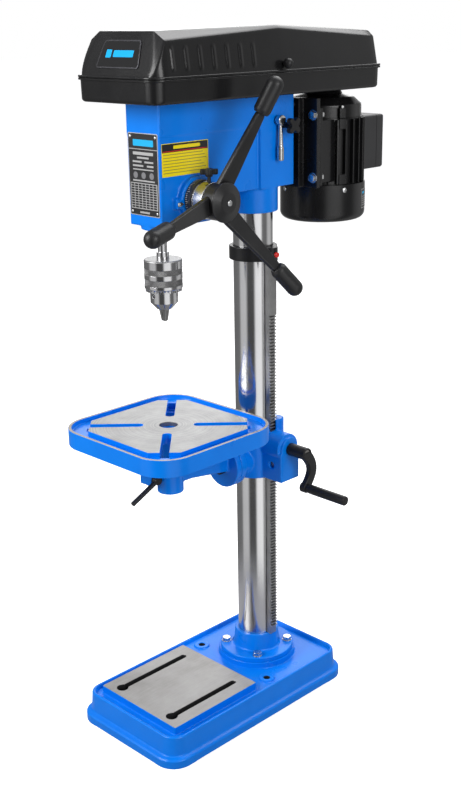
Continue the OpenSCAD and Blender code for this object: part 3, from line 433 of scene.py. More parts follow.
red_enamel = surface("red_screw_paint", PEEL, ((0.50, 0.01, 0.008), (0.72, 0.025, 0.015)), (0.22, 0.34),
                     900.0, 0.00002)
collar_screw = solid("collar_screw_head", [placed(slotted_screw(5, 5), (57.3, 68, 876.5), "x")], [red_enamel])
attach(collar_screw, "rack_set")
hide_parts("collar_screw")

# ---- table bracket ----
# Sand cast iron sleeve with a gear box on its right side and a round tilt flange in front, in blue enamel.


def sand_cast(name, source, voxel, passes, materials, extra=()):
    """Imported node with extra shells, rebuilt on an even grid and relaxed to the round edges of a casting."""
    work = bmesh.new()
    work.from_mesh(nodes[source].data)
    for shell in extra:
        added = solid(name + "_extra", [shell], [])
        work.from_mesh(added.data)
        bpy.data.objects.remove(added)
    bmesh.ops.remove_doubles(work, verts=work.verts, dist=1e-5)
    mesh = bpy.data.meshes.new(name)
    work.to_mesh(mesh)
    work.free()
    made = bpy.data.objects.new(name, mesh)
    bpy.context.scene.collection.objects.link(made)
    grid = made.modifiers.new("grid", "REMESH")
    grid.mode = "VOXEL"
    grid.voxel_size = voxel
    relax = made.modifiers.new("relax", "SMOOTH")
    relax.factor = 0.5
    relax.iterations = passes
    ready = made.evaluated_get(bpy.context.evaluated_depsgraph_get())
    made.data = bpy.data.meshes.new_from_object(ready)
    made.modifiers.clear()
    made.data.shade_smooth()
    made.data.materials.clear()
    for material in materials:
        made.data.materials.append(material)
    return made


table_bracket = sand_cast("bracket_casting", "table_bracket", 0.0013, 5, [blue_enamel])
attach(table_bracket, "bracket")
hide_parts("table_bracket")

# ---- lift gear and crank ----
# A hardened pinion and a worm inside the box; outside, a black cast crank bowed sideways with a plain
# round grip that turns on its pin.
oiled_steel = surface("oiled_steel", ZINC, ((0.22, 0.21, 0.20), (0.44, 0.43, 0.42)), (0.22, 0.38), 240.0,
                      0.000006, metal=1.0, soft=0.0005)
dress(oiled_steel, "lift_gear", "crank_shaft")
crank_black = surface("crank_black_enamel", PEEL, ((0.006, 0.006, 0.0065), (0.017, 0.017, 0.018)),
                      (0.34, 0.48), 700.0, 0.00005, specular=0.3)
CRANK_X, CRANK_Z, THROW = 130.0, 512.0, 67.0


def swept(path, frames, half_wide, half_thick, radius=2.0, steps=3):
    """Rounded rectangle carried along a path, each ring lying across it in its own two side directions."""
    rings = []
    for point, (wide, thick), w, t in zip(path, frames, half_wide, half_thick):
        ring = oblong(w, t, min(radius, w * 0.95, t * 0.95), steps)
        rings.append(point + ring[:, :1] * wide + ring[:, 1:] * thick)
    rings = [rings[0] * 0 + path[0]] + rings + [rings[-1] * 0 + path[-1]]
    return [skin(rings)]


bow = np.linspace(0, 1, 25)
reach = np.linspace(-3, THROW + 3, 25)
side = 17.5 * np.sin(np.pi * np.clip(reach / THROW, 0, 1))
crank_path = np.c_[CRANK_X + 0 * bow, 68 + side, CRANK_Z - reach]
slope = np.gradient(crank_path, axis=0)
slope /= np.linalg.norm(slope, axis=1, keepdims=True)
across = np.cross(slope, [1.0, 0, 0])
arm_wide = 10.6 - 1.6 * bow
crank_hub_line = arcs([[0, 92.6], [12, 92.6], [12, 136], [9.4, 136], [7.6, 133.4], [0, 133.4]],
                      [0, 1.2, 1.8, 0.8, 0.4, 0], 3, closed=False)
crank_eye_line = arcs([[0, 123.4], [10, 123.4], [10, 136], [0, 136]], [0, 1.5, 1.5, 0], 3, closed=False)
crank_arm = solid("crank_casting", [
    swept(crank_path, [(w, np.array([1.0, 0, 0])) for w in across], arm_wide, 5.8 + 0 * bow, 2.4),
    placed([lathe(crank_hub_line, 48)], (0, 68, CRANK_Z), "x"),
    placed([lathe(crank_eye_line, 40)], (0, 68, CRANK_Z - THROW), "x"),
    placed([lathe([[0, 135], [5, 135], [5, 221], [0, 221]], 24)], (0, 68, CRANK_Z - THROW), "x")],
                  [crank_black])
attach(crank_arm, "crank")
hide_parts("crank_arm")
moulded_black = surface("moulded_black", PEEL, ((0.006, 0.006, 0.0065), (0.015, 0.015, 0.016)), (0.36, 0.5),
                        1500.0, 0.00003, specular=0.3)
grip_line = arcs([[5.2, 136.6], [8.4, 136.6], [9, 150], [9, 228], [0, 228.4], [0, 223.2], [5.2, 223.2]],
                 [0, 1.2, 20, 2.2, 0, 0, 0], 4)
crank_grip = solid("crank_grip_sleeve",
                   [placed([lathe(grip_line, 48, loop=True)], (0, 68, CRANK_Z - THROW), "x")],
                   [moulded_black])
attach(crank_grip, "grip")
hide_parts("crank_grip")

# ---- clamp levers and tilt bolt ----
# Black steel: a ball ended lever locks the bracket on the column, a plain bar locks the table's stem, and a
# large bolt in the tilt flange holds the arm at its angle.
black_steel = surface("blackened_steel", ZINC, ((0.010, 0.010, 0.011), (0.030, 0.030, 0.032)), (0.30, 0.46),
                      300.0, 0.00001, metal=0.4, soft=0.0006)
dress(black_steel, "column_clamp_lever")
CLAMP = (-186, 499)
lever_turn = Matrix.Rotation(np.radians(115), 3, "X")
lever_bar = arcs([[0, -2], [4.5, -2], [4.5, 66], [0, 66]], [0, 0, 1.2, 0], 3, closed=False)
hub_line = arcs([[0, -36], [5, -36], [5, -4.4], [8, -4.4], [8, 7], [0, 7]], [0, 0, 0, 0.8, 1.4, 0], 3,
                closed=False)
table_clamp = solid("table_clamp_handle", [placed([lathe(lever_bar, 28)], (2, *CLAMP), turn=lever_turn),
                                           placed([lathe(hub_line, 36)], (0, *CLAMP), "x")], [black_steel])
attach(table_clamp, "table_clamp")
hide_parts("table_clamp_lever")
dress(black_steel, "tilt_bolt")

# ---- table arm ----
# Cast iron arm with the tilt flange at the back, a deep web under its beam, and a split boss that pinches
# the table's stem.
web_outline = arcs([[-152, 486], [-112, 485], [-24, 472], [-17, 472], [-17, 538], [-152, 538]],
                   [0, 20, 3, 0, 0, 0], 4)
beam = placed(plate(web_outline, [], (-17.5, 17.5), 4), axis="x")
table_arm = sand_cast("arm_casting", "table_arm", 0.0013, 5, [blue_enamel], [beam])
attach(table_arm, "arm")
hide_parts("table_arm")

# ---- table ----
# Square iron table with round corners. The rim's top and the eight sided working face are turned bright in
# one setting; the coolant trough, slots and skirt stay blue.
SPINDLE = (0, -153)


def turning(tree, place, scale):
    """Faced metal: fine rings round the middle, darker and brighter by turns, broken by a soft cloudiness."""
    flat_place = add(tree, "Mapping", {"Vector": place, "Scale": (1.0, 1.0, 0.0)})
    radius = add(tree, "VectorMath", {0: flat_place.outputs[0]}, operation="LENGTH")
    along = add(tree, "CombineXYZ", {0: radius.outputs["Value"]})
    fine = add(tree, "TexNoise",
               {"Vector": along.outputs[0], "Scale": scale, "Detail": 5.0, "Roughness": 0.75})
    cloud = add(tree, "TexNoise", {"Vector": place, "Scale": 22.0, "Detail": 4.0, "Roughness": 0.6})
    both = add(tree, "Math", {0: cloud.outputs[0], 1: 0.35, 2: fine.outputs[0]}, operation="MULTIPLY_ADD")
    tone = add(tree, "MapRange", {0: both.outputs[0], 1: 0.45, 2: 0.95, 3: 0.0, 4: 1.0})
    return tone.outputs[0], fine.outputs[0]


TURNED = pattern("facing_rings", turning)
table_steel = surface("table_turned_face", TURNED, ((0.11, 0.11, 0.11), (0.50, 0.50, 0.50)), (0.34, 0.44),
                      420.0, 0.00003, metal=0.85, shift=(0, 0.153, 0))
rim_steel = surface("table_rim_edge", TURNED, ((0.26, 0.23, 0.20), (0.42, 0.38, 0.34)), (0.36, 0.48), 700.0,
                    0.00001, metal=0.6, shift=(0, 0.153, 0))
table_edge = oblong(144, 144, 60, 16, SPINDLE)
skirt_line = [(-4.5, 565), (-1.2, 565), (-0.3, 565.4), (0, 566.6), (0, 595.4), (-0.5, 596)]
trough_line = [(-5.6, 596), (-6.2, 595.4), (-7, 590.5), (-7.8, 588.8), (-9.8, 588)]


def diagonal(points, k):
    """Points given along one diagonal of the table, turned to diagonal k."""
    turn = np.pi / 4 + k * np.pi / 2
    spin = np.array([[np.cos(turn), np.sin(turn)], [-np.sin(turn), np.cos(turn)]])
    return np.asarray(points, float) @ spin + SPINDLE


half_turn = np.linspace(-np.pi / 2, np.pi / 2, 9)
slot_end = np.c_[53 - 8 * np.cos(half_turn), 8 * np.sin(half_turn)]
face_corner = [[140.7, -27.7], [140.7, -8], *slot_end, [140.7, 8], [140.7, 27.7]]
face_edge = np.vstack([diagonal(face_corner, k) for k in range(4)])
deck_slots = [diagonal([[146, -8], [146, 8], *slot_end[::-1]], k) for k in range(4)]
deck_inner = spread(table_edge, -9.8)
deck_bore = circle(16, SPINDLE)
deck = [skin([level(spread(table_edge, o), z) for o, z in skirt_line]),
        skin([level(spread(table_edge, -0.5), 596), level(spread(table_edge, -5.6), 596)], 2),
        skin([level(spread(table_edge, o), z) for o, z in trough_line]),
        flat([deck_inner, *deck_slots, deck_bore], 588),
        *[skin([level(s, 588), level(s, 576)]) for s in [*deck_slots, deck_bore]],
        flat([spread(table_edge, -8), *deck_slots, deck_bore], 576),
        skin([level(spread(table_edge, o), z) for o, z in ((-8, 576), (-7, 565.6), (-4.5, 565))])]
face = [flat([spread(face_edge, -0.4), circle(17, SPINDLE)], 596, 1),
        skin([level(spread(face_edge, -0.4), 596), level(face_edge, 595.6), level(face_edge, 588)]),
        skin([level(circle(17, SPINDLE), 596), level(circle(16, SPINDLE), 595),
              level(circle(16, SPINDLE), 588)], 1),
        flat([face_edge, circle(16, SPINDLE)], 588)]
stem_line = arcs([[11, 474], [17, 474], [17, 546], [30, 546], [30, 572], [38, 577], [11, 577]],
                 [0, 0.8, 0, 2.5, 3, 0, 0], 3)
ribs = [plate(diagonal([[28, -4], [134, -4], [134, 4], [28, 4]], k + 0.5), [], (568, 577), 1.5)
        for k in range(4)]
ribs += [plate(diagonal([[r, -16], [r + 6, -16], [r + 6, 16], [r, 16]], k), [], (565.4, 577), 1.2)
         for r in (124, 140, 156) for k in range(4)]
table_top = solid("table_casting",
                  [deck, face, placed([lathe(stem_line, 64, loop=True)], (*SPINDLE, 0)), *ribs],
                  [blue_enamel, table_steel, rim_steel])
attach(table_top, "table_top")
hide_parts("table")

# ---- head ----
# The main iron casting in the same enamel: flat flanks with rounded corners, a feed boss on each side and a
# neck that grips the column.
head = sand_cast("head_body", "head_casting", 0.0017, 6, [blue_enamel])
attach(head, "stand")
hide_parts("head_casting")

# ---- nameplate ----
# Printed aluminium plate held by four round rivets. The print is replaced by plain bars: a light blue bar
# for the mark, silver bars for lines, three discs for the signs, and a table of blank cells.


def printed(name, colour, rough=(0.28, 0.4), metal=0.0):
    """Ink or foil of one colour, slightly uneven."""
    dark = tuple(0.8 * c for c in colour)
    return surface(name, ZINC, (dark, colour), rough, 900.0, 0.000003, metal=metal)


def bar(x0, x1, z0, z1, low, high, mark, radius=0.2):
    """Thin plate facing +Z with its outline given as two corners."""
    outline = arcs([[x0, z0], [x1, z0], [x1, z1], [x0, z1]], radius, 2)
    return plate(outline, [], (low, high), 0.04, mark, mark)


def upright(patches, at=(0, 0, 0), way=-1):
    """Patches drawn in X and height, stood up at a place: thickness to the front, or back if way is 1."""
    return [(np.c_[p[:, 0], way * p[:, 2], p[:, 1]] + at, faces, mark) for p, faces, mark in patches]


PLATE_FRONT = -188.0
plate_black = printed("plate_black_ink", (0.012, 0.012, 0.013))
plate_silver = printed("plate_bare_aluminium", (0.62, 0.62, 0.62), metal=0.7)
print_cyan = printed("print_light_blue", (0.0, 0.42, 0.78))
sign_grey = printed("print_mid_grey", (0.20, 0.20, 0.21))
marks = [bar(-36.5, 36.5, 973, 1108, 0.05, 0.9, 1, 2.2), bar(-35.2, 35.2, 974.3, 1106.7, 0.9, 1.0, 0, 1.6)]
marks += [bar(-24, 26, 1087, 1097.5, 1.0, 1.1, 2, 1.0), bar(-25, 25, 1072.5, 1077.5, 1.0, 1.1, 1, 0.5)]
marks += [bar(-33, 33, 984, 1027, 1.0, 1.1, 1, 0.6)]
# plain lines of print: left, right, bottom and top edge
LINES = [(-35, 35, 1081.4, 1082.6), (-15, 14, 1066.6, 1069.6), (-26, -4, 1060, 1063), (3, 25, 1060, 1063),
         (-26, 0, 1053.5, 1056.5), (9, 25, 1053.5, 1056.5), (-26, 25, 1048, 1050), (-27, 27, 1029.5, 1032),
         (-12, 12, 977, 980)]
marks += [bar(*line, 1.0, 1.1, 1) for line in LINES]
marks += [plate(circle(5.4, (x, 1039.5), 28), [], (1.0, 1.1), 0.04, 3, 3) for x in (-20, 0, 20)]
for row in range(10):
    for column in range(7):
        x, z = -31.5 + 9.1 * column, 985.5 + 4.1 * row
        marks.append(bar(x, x + 7.6, z, z + 3.1, 1.1, 1.2, 0, 0.3))
marks = [upright(patches, (0, PLATE_FRONT, 0)) for patches in marks]
rivet_line = arcs([[0, 0.9], [2.2, 0.9], [2.2, 1.5], [0, 2.3]], [0, 0, 0.4, 0], 3, closed=False)
for x in (-31, 31):
    for z in (979, 1102):
        marks.append(upright([lathe(rivet_line, 20, 1)], (x, PLATE_FRONT, z)))
nameplate = solid("plate_on_head", marks, [plate_black, plate_silver, print_cyan, sign_grey])
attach(nameplate, "stand")
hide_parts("nameplate")

# ---- side label ----
# Yellow film label with a black heading band and a thin red rule; its lines of print are plain grey bars.
HEAD_SIDE = 40.0
label_yellow = printed("label_yellow_film", (0.92, 0.74, 0.004))
label_red = printed("label_red_ink", (0.62, 0.01, 0.01))
label_ink = printed("label_grey_ink", (0.30, 0.26, 0.05))
lines = [bar(-184, -79.5, 1038.5, 1092, 0.05, 0.25, 0, 0.8),
         bar(-183, -80.5, 1077.5, 1091, 0.25, 0.32, 1, 0.5)]
lines += [bar(-181, -82, 1078.6, 1079.8, 0.32, 0.38, 2), bar(-158, -98, 1082.5, 1088, 0.32, 0.38, 0, 1.0)]
for row, end in enumerate((-92, -88, -84, -96, -90, -86, -100)):
    lines.append(bar(-181, end, 1073.2 - 4.9 * row, 1074.4 - 4.9 * row, 0.25, 0.3, 3))
label = solid("label_on_head", [placed(patches, (HEAD_SIDE, 0, 0), "x") for patches in lines],
              [label_yellow, plate_black, label_red, label_ink])
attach(label, "stand")
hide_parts("side_label")

# ---- depth pointer ----
# Bright stamped arrow under a small screw, pointing at the depth ring's scale.
BOSS_FACE = 50.0
outline = arcs([[-161, 989.5], [-153, 989.5], [-147.5, 993], [-153, 996.5], [-161, 996.5]],
               [1.5, 1, 0.3, 1, 1.5], 3)
screw_line = arcs([[0, 1], [2.8, 1], [2.8, 3], [0, 3]], [0, 0, 1.0, 0], 3, closed=False)
pointer = solid("depth_arrow", [placed(plate(outline, [], (0.1, 1.4), 0.3), (BOSS_FACE, 0, 0), "x"),
                                placed([lathe(screw_line, 24)], (BOSS_FACE, -157, 993), "x")], [zinc])
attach(pointer, "stand")
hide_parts("depth_pointer")

# ---- spring housing, switch box and rocker ----
# On the left side: a pressed cup over the coil spring, and a moulded box with a red rocker.
spring_steel = surface("blued_spring_steel", GROUND, ((0.05, 0.06, 0.09), (0.16, 0.18, 0.24)), (0.25, 0.4),
                       900.0, 0.00001, metal=1.0)
dress(spring_steel, "return_spring")
cup_line = arcs([[0, -66], [31, -66], [31, -50.1], [28.4, -50.1], [28.4, -63.2], [0, -63.2]],
                [0, 3.2, 0.5, 0.5, 1, 0], 5, closed=False)
FEED = (0.0, -113.0, 997.0)
cup = solid("spring_cup", [placed([lathe(cup_line, 72)], FEED, "x")], [satin_black])
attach(cup, "stand")
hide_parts("spring_housing")
SWITCH = (-34, 1063)
switch_shell = plate(oblong(27.5, 36.5, 5, 5, SWITCH), [oblong(12.2, 15.2, 1, 3, SWITCH)], (-65, -40.1), 2.4)
switch_case = solid("switch_case", [placed(switch_shell, axis="x")], [moulded_black])
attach(switch_case, "stand")
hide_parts("switch_box")
rocker_red = surface("rocker_red_plastic", PEEL, ((0.42, 0.008, 0.006), (0.62, 0.02, 0.012)), (0.22, 0.34),
                     900.0, 0.00002, coat=0.2, soft=0.001)
dress(rocker_red, "switch_rocker")

# ---- quill, spindle and bearings ----
# The quill is ground steel with the rack cut in its back; spindle nose and bearing rings are ground too.
ground_steel = surface("ground_quill_steel", POLISH, ((0.42, 0.42, 0.43), (0.62, 0.62, 0.63)), (0.14, 0.26),
                       1800.0, 0.000006, metal=1.0, soft=0.0005)
dress(ground_steel, "quill", "spindle", "quill_bearings", "drive_bearings")

# ---- chuck ----
# Keyed chuck: a bright turned sleeve with two knurled bands and bevel teeth under it, a chromed body with
# three key holes, and three grey hardened jaws.
chrome = surface("chuck_chrome", POLISH, ((0.50, 0.50, 0.51), (0.68, 0.68, 0.69)), (0.08, 0.18), 1500.0,
                 0.000005, metal=1.0, soft=0.0006)
dress(chrome, "chuck_body")


def knurl(tree, place, scale):
    """Diamond knurling: two crossed sets of ridges wound round the axis, with painted shade darkening the
    hollows.
    """
    parts = add(tree, "SeparateXYZ", {0: place})
    turn = add(tree, "Math", {0: parts.outputs[1], 1: parts.outputs[0]}, operation="ARCTAN2")
    waves = []
    for way in (1.0, -1.0):
        climb = add(tree, "Math", {0: parts.outputs[2], 1: 1700.0 * way}, operation="MULTIPLY")
        wind = add(tree, "Math", {0: turn.outputs[0], 1: scale, 2: climb.outputs[0]},
                   operation="MULTIPLY_ADD")
        wave = add(tree, "Math", {0: wind.outputs[0]}, operation="SINE")
        waves.append(add(tree, "Math", {0: wave.outputs[0]}, operation="ABSOLUTE"))
    both = add(tree, "Math", {0: waves[0].outputs[0], 1: waves[1].outputs[0]}, operation="MINIMUM")
    return both.outputs[0], both.outputs[0]


KNURLED = pattern("diamond_knurl", knurl)
# The knurl's hollows take the dark colour and its ridges the light one: painted shade in the hollows.
knurled_steel = surface("knurled_band", KNURLED, ((0.05, 0.05, 0.05), (0.34, 0.34, 0.34)), (0.30, 0.45), 60.0,
                        0.0004, metal=0.95, shift=(0, 0.153, 0))
low = arcs([[26.6, 842.8], [29.6, 843.2], [33, 847], [33, 852]], [0, 0.5, 1.2, 0], 3, closed=False)
band_low = [[33, 852], [32.5, 852.4], [32.5, 862.6], [33, 863]]
middle = arcs([[33, 863], [33, 871]], 0, 1, closed=False)
band_high = [[33, 871], [32.5, 871.4], [32.5, 880.6], [33, 881]]
high = [[33, 881], [33, 893.6]]
# The top face and bore take mark 2, the darker turned steel of the table: partly a turned finish, partly
# painted shade that dims the top face's bright reflection.
top = arcs([[33, 893.6], [33, 896], [10.8, 896], [10.8, 890.6], [26.6, 890.6], [26.6, 842.8]],
           [0, 1.8, 0.6, 0, 0, 0], 4, closed=False)
lengths = ((low, 0), (band_low, 1), (middle, 0), (band_high, 1), (high, 0), (top, 2))
sleeve_parts = [lathe(line, 112, mark) for line, mark in lengths]
tooth = arcs([[-1.1, 27.2], [1.1, 27.2], [1.5, 31.6], [-1.5, 31.6]], 0.25, 2)
TEETH = 32
teeth = []
for k in range(TEETH):
    turn = Matrix.Rotation(2 * np.pi * k / TEETH, 3, "Z")
    teeth.append(placed(plate(tooth, [], (840.9, 845.5), 0.3), turn=turn))
shells = [placed(part, (*SPINDLE, 0)) for part in [sleeve_parts, *teeth]]
chuck_sleeve = solid("chuck_outer_sleeve", shells, [chrome, knurled_steel, table_steel], 28)
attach(chuck_sleeve, "sleeve")
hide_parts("chuck_sleeve")
jaw_steel = surface("hardened_jaw_steel", GROUND, ((0.16, 0.16, 0.155), (0.34, 0.34, 0.33)), (0.30, 0.42),
                    900.0, 0.00001, metal=1.0, soft=0.0004)
dress(jaw_steel, "chuck_jaw_1", "chuck_jaw_2", "chuck_jaw_3")

# ---- feed hub, arms and grips ----
# Three flat tapered arms are cast in one with the hub in black, each ending in a moulded rubber grip. A domed
# cap with one bright screw covers the shaft's end.
ROOT = 92
ARMS = (-22, 98, 218)
SLOPE = np.radians(17.7)
ARM_END = 212 / np.cos(SLOPE) - 65
cast_black = surface("cast_black_satin", PEEL, ((0.006, 0.006, 0.0065), (0.020, 0.020, 0.021)), (0.28, 0.40),
                     800.0, 0.00004, coat=0.05, specular=0.35)
grip_rubber = surface("grip_rubber", PEEL, ((0.005, 0.005, 0.0055), (0.016, 0.016, 0.017)), (0.34, 0.46),
                      1500.0, 0.00003, specular=0.35)


def along_arm(patches, degrees):
    """Patches drawn along +Z from the hub's middle, laid along the feed arm at an angle round the shaft."""
    turn = Matrix.Rotation(np.radians(degrees), 3, "X") @ Matrix.Rotation(SLOPE, 3, "Y")
    return placed(patches, (ROOT, *FEED[1:]), turn=turn)


rise = np.array([16, 24, 40, 80, 120, ARM_END - 6, ARM_END - 2, ARM_END + 2])
half_wide = np.array([15.8, 16.2, 15.4, 13.2, 11.0, 9.2, 8.6, 6.8])
half_thick = np.array([5.0, 5.2, 5.2, 5.0, 4.8, 4.7, 4.6, 4.4])
stations = np.interp(np.linspace(0, 1, 24), np.linspace(0, 1, 8), rise)
spine = np.c_[0 * stations, 0 * stations, stations]
ways = [(np.array([0, 1.0, 0]), np.array([-1.0, 0, 0]))] * 24
wide, thick = np.interp(stations, rise, half_wide), np.interp(stations, rise, half_thick)
bar_arm = swept(spine, ways, wide, thick, 2.6, 4)
GRIP_END = ARM_END + 64.8
grip_shape = arcs([[0, ARM_END + 0.4], [11.6, ARM_END + 0.4], [14.5, ARM_END + 6], [14.5, GRIP_END],
                   [0, GRIP_END]],
                  [0, 1.6, 6, 14.1, 0], 8, closed=False)
hub_shape = arcs([[0, 51], [20, 51], [20, 88.5], [31, 88.5], [31, 112], [0, 112]], [0, 0.6, 0, 2.0, 1.0, 0],
                 4, closed=False)
hub_shells = [placed([lathe(hub_shape, 72)], FEED, "x")]
hub_shells += [along_arm(bar_arm, degrees) for degrees in ARMS]
feed_hub = solid("feed_hub_casting", hub_shells, [cast_black])
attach(feed_hub, "feed")
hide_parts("feed_hub")
feed_grips = solid("feed_grip_rubber", [along_arm([lathe(grip_shape, 40)], degrees) for degrees in ARMS],
                   [grip_rubber])
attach(feed_grips, "feed")
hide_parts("feed_grips")
cap_shape = arcs([[0, 112.1], [33, 112.1], [33, 116.2], [17, 121.9], [0, 122]], [0, 0.6, 2.2, 12, 0], 5,
                 closed=False)
hub_cap = solid("hub_cap_dome", [placed([lathe(cap_shape, 72)], FEED, "x")], [cast_black])
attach(hub_cap, "feed")
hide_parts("hub_cap")
hub_screw = solid("hub_screw_head", [placed(slotted_screw(5, 3.0, 0.7, 0.9), (122.0, *FEED[1:]), "x")],
                  [zinc])
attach(hub_screw, "feed")
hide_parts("hub_screw")
dress(milled_steel, "feed_shaft")

# ---- depth ring and its knob ----
# A turned steel ring with a black scale band cut with white ticks and no figures, and
# a lock knob of four lobes.
ring_steel = surface("ring_turned_steel", POLISH, ((0.30, 0.30, 0.30), (0.56, 0.56, 0.56)), (0.18, 0.34),
                     2400.0, 0.00001, metal=1.0)
scale_black = printed("scale_band_black", (0.014, 0.014, 0.015))
ring_line = [[20.1, 50.4], [32.4, 50.4], [33, 51]]
band = arcs([[33, 51], [33, 63.9], [32.4, 64.5], [31, 64.5]], 0, 1, closed=False)
rest = arcs([[31, 64.5], [31, 66.5], [30.2, 67.2], [30.2, 68.8], [31, 69.5], [31, 88], [20.1, 88],
             [20.1, 50.4]],
            [0, 0.3, 0.2, 0.2, 0.3, 0.9, 0, 0], 3, closed=False)
ring_shell = placed([lathe(ring_line, 96), lathe(band, 96, 1), lathe(rest, 96)], FEED, "x")
ticks = []
for k in range(60):
    far = 59.0 if k % 5 == 0 else 56.0
    tick = placed(bar(-0.28, 0.28, 52.0, far, -0.05, 0.0, 2, 0.05), (33.0, 0, 0), "x")
    ticks.append(placed(tick, FEED, "x", Matrix.Rotation(np.radians(6.0 * k), 3, "Z")))
print_white = printed("print_white", (0.75, 0.75, 0.75))
depth_ring = solid("depth_scale_ring", [ring_shell, *ticks], [ring_steel, scale_black, print_white])
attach(depth_ring, "ring")
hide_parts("depth_ring")


def lobes(core, lobe, reach):
    """Outline of a hand knob: the farther of a core circle and four lobe circles, seen from the middle."""
    turn = np.linspace(0, 2 * np.pi, 96, endpoint=False)
    far = np.full(96, float(core))
    for middle in np.radians([45, 135, 225, 315]):
        gap = np.cos(turn - middle)
        inside = lobe ** 2 - (reach * np.sin(turn - middle)) ** 2
        far = np.maximum(far,
                         np.where((inside > 0) & (gap > 0), reach * gap + np.sqrt(np.maximum(inside, 0)), 0))
    far = (np.roll(far, 1) + 2 * far + np.roll(far, -1)) / 4
    return np.c_[far * np.cos(turn), far * np.sin(turn)]


neck_line = arcs([[0, 1036.5], [6, 1036.5], [7, 1041], [0, 1041]], [0, 0.6, 0, 0], 2, closed=False)
knob_shells = [plate(lobes(8.6, 5, 10), [], (1040, 1049), 1.2), [lathe(neck_line, 32)],
               [lathe([[0, 1018], [3, 1018], [3, 1040.5], [0, 1040.5]], 20)]]
depth_knob = solid("depth_lock_knob", [placed(shell, (76, FEED[1], 0)) for shell in knob_shells],
                   [moulded_black])
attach(depth_knob, "ring_knob")
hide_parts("depth_knob")

# ---- belt tray ----
# Pressed steel tray under the cover with rounded lower edges, in black semi gloss, with an outward flange
# on which the cover sits.
cover_black = surface("cover_black_paint", PEEL, ((0.004, 0.004, 0.0045), (0.010, 0.010, 0.0105)),
                      (0.20, 0.30), 420.0, 0.00004, coat=0.1, specular=0.3)
TRAY_MIDDLE = (0, 35)
TRAY_HALF = 279
tray_out = oblong(97, TRAY_HALF, 22, 10, TRAY_MIDDLE)
curve = np.linspace(0, np.pi / 2, 7)
wall_out = [(-6 + 6 * np.sin(t), 1157.5 + 6 * (1 - np.cos(t))) for t in curve]
wall_in = [(-7 + 4.5 * np.sin(t), 1160 + 4.5 * (1 - np.cos(t))) for t in curve]
LIP_AT_ENDS = 3.9
lip = [(0.6, 1191.6), (1.4, 1192.5), (5.2, 1192.6), (5.9, 1193.3), (5.9, 1195.0), (5.3, 1195.6)]


def lip_ring(out, z):
    """Outline of the tray's outward lip, wider at the sides than at the two ends."""
    ring = spread(tray_out, out)
    middle = TRAY_MIDDLE[1]
    ring[:, 1] = middle + (ring[:, 1] - middle) * (TRAY_HALF + min(out, LIP_AT_ENDS)) / (TRAY_HALF + out)
    return level(ring, z)


rings = [level(spread(tray_out, o), z) for o, z in wall_out]
rings += [level(spread(tray_out, o), z) if o < 2 else lip_ring(o, z) for o, z in lip]
holes = [circle(27, (0, -153)), circle(8, (-30, 30), 32)]
holes.append(np.vstack([circle(20, (0, 261), 32)[:17], circle(20, (0, 243), 32)[16:]]))
tray_shell = [skin(rings), skin([rings[-1], level(spread(tray_out, -2.5), 1195.6)]),
              skin([level(spread(tray_out, -2.5), 1195.6),
                    *[level(spread(tray_out, o), z) for o, z in wall_in[::-1]]]),
              flat([spread(tray_out, -6), *holes], 1157.5), flat([spread(tray_out, -7), *holes], 1160)]
tray_shell += [skin([level(hole, 1157.5), level(hole, 1160)]) for hole in holes]


def knuckle(y):
    """Hinge barrel of one leaf, starting at depth y."""
    line = arcs([[0, y], [3.4, y], [3.4, y + 20], [0, y + 20]], [0, 0.5, 0.5, 0], 2, closed=False)
    return placed([lathe(line, 24)], (-106.5, 0, 1196), "y")


belt_tray = solid("tray_pressing", [tray_shell, knuckle(-120), knuckle(180)], [cover_black])
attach(belt_tray, "stand")
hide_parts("belt_tray")

# ---- cover lid ----
# Deep drawn lid: a top that narrows to the front and back, sloping ends, folded edges with a soft radius,
# a flange all round, and shallow upright ribs pressed in the flanks in place of raised lettering.
SECTIONS = np.array([[-242, 97, 96.5, 96, 1197.0, 1197.4], [-240, 97.1, 96.2, 94.5, 1200.0, 1201.5],
                     [-214, 98, 89.3, 65.5, 1253, 1267], [45, 98, 88.0, 82.0, 1266.5, 1272],
                     [305, 97, 85, 72, 1248, 1258], [311.5, 97, 95.5, 93, 1200.5, 1202],
                     [313, 97, 96.5, 96, 1197.0, 1197.4]])
LID_FOOT, LID_CORNER, ACROSS = 1196.2, 22.0, 121


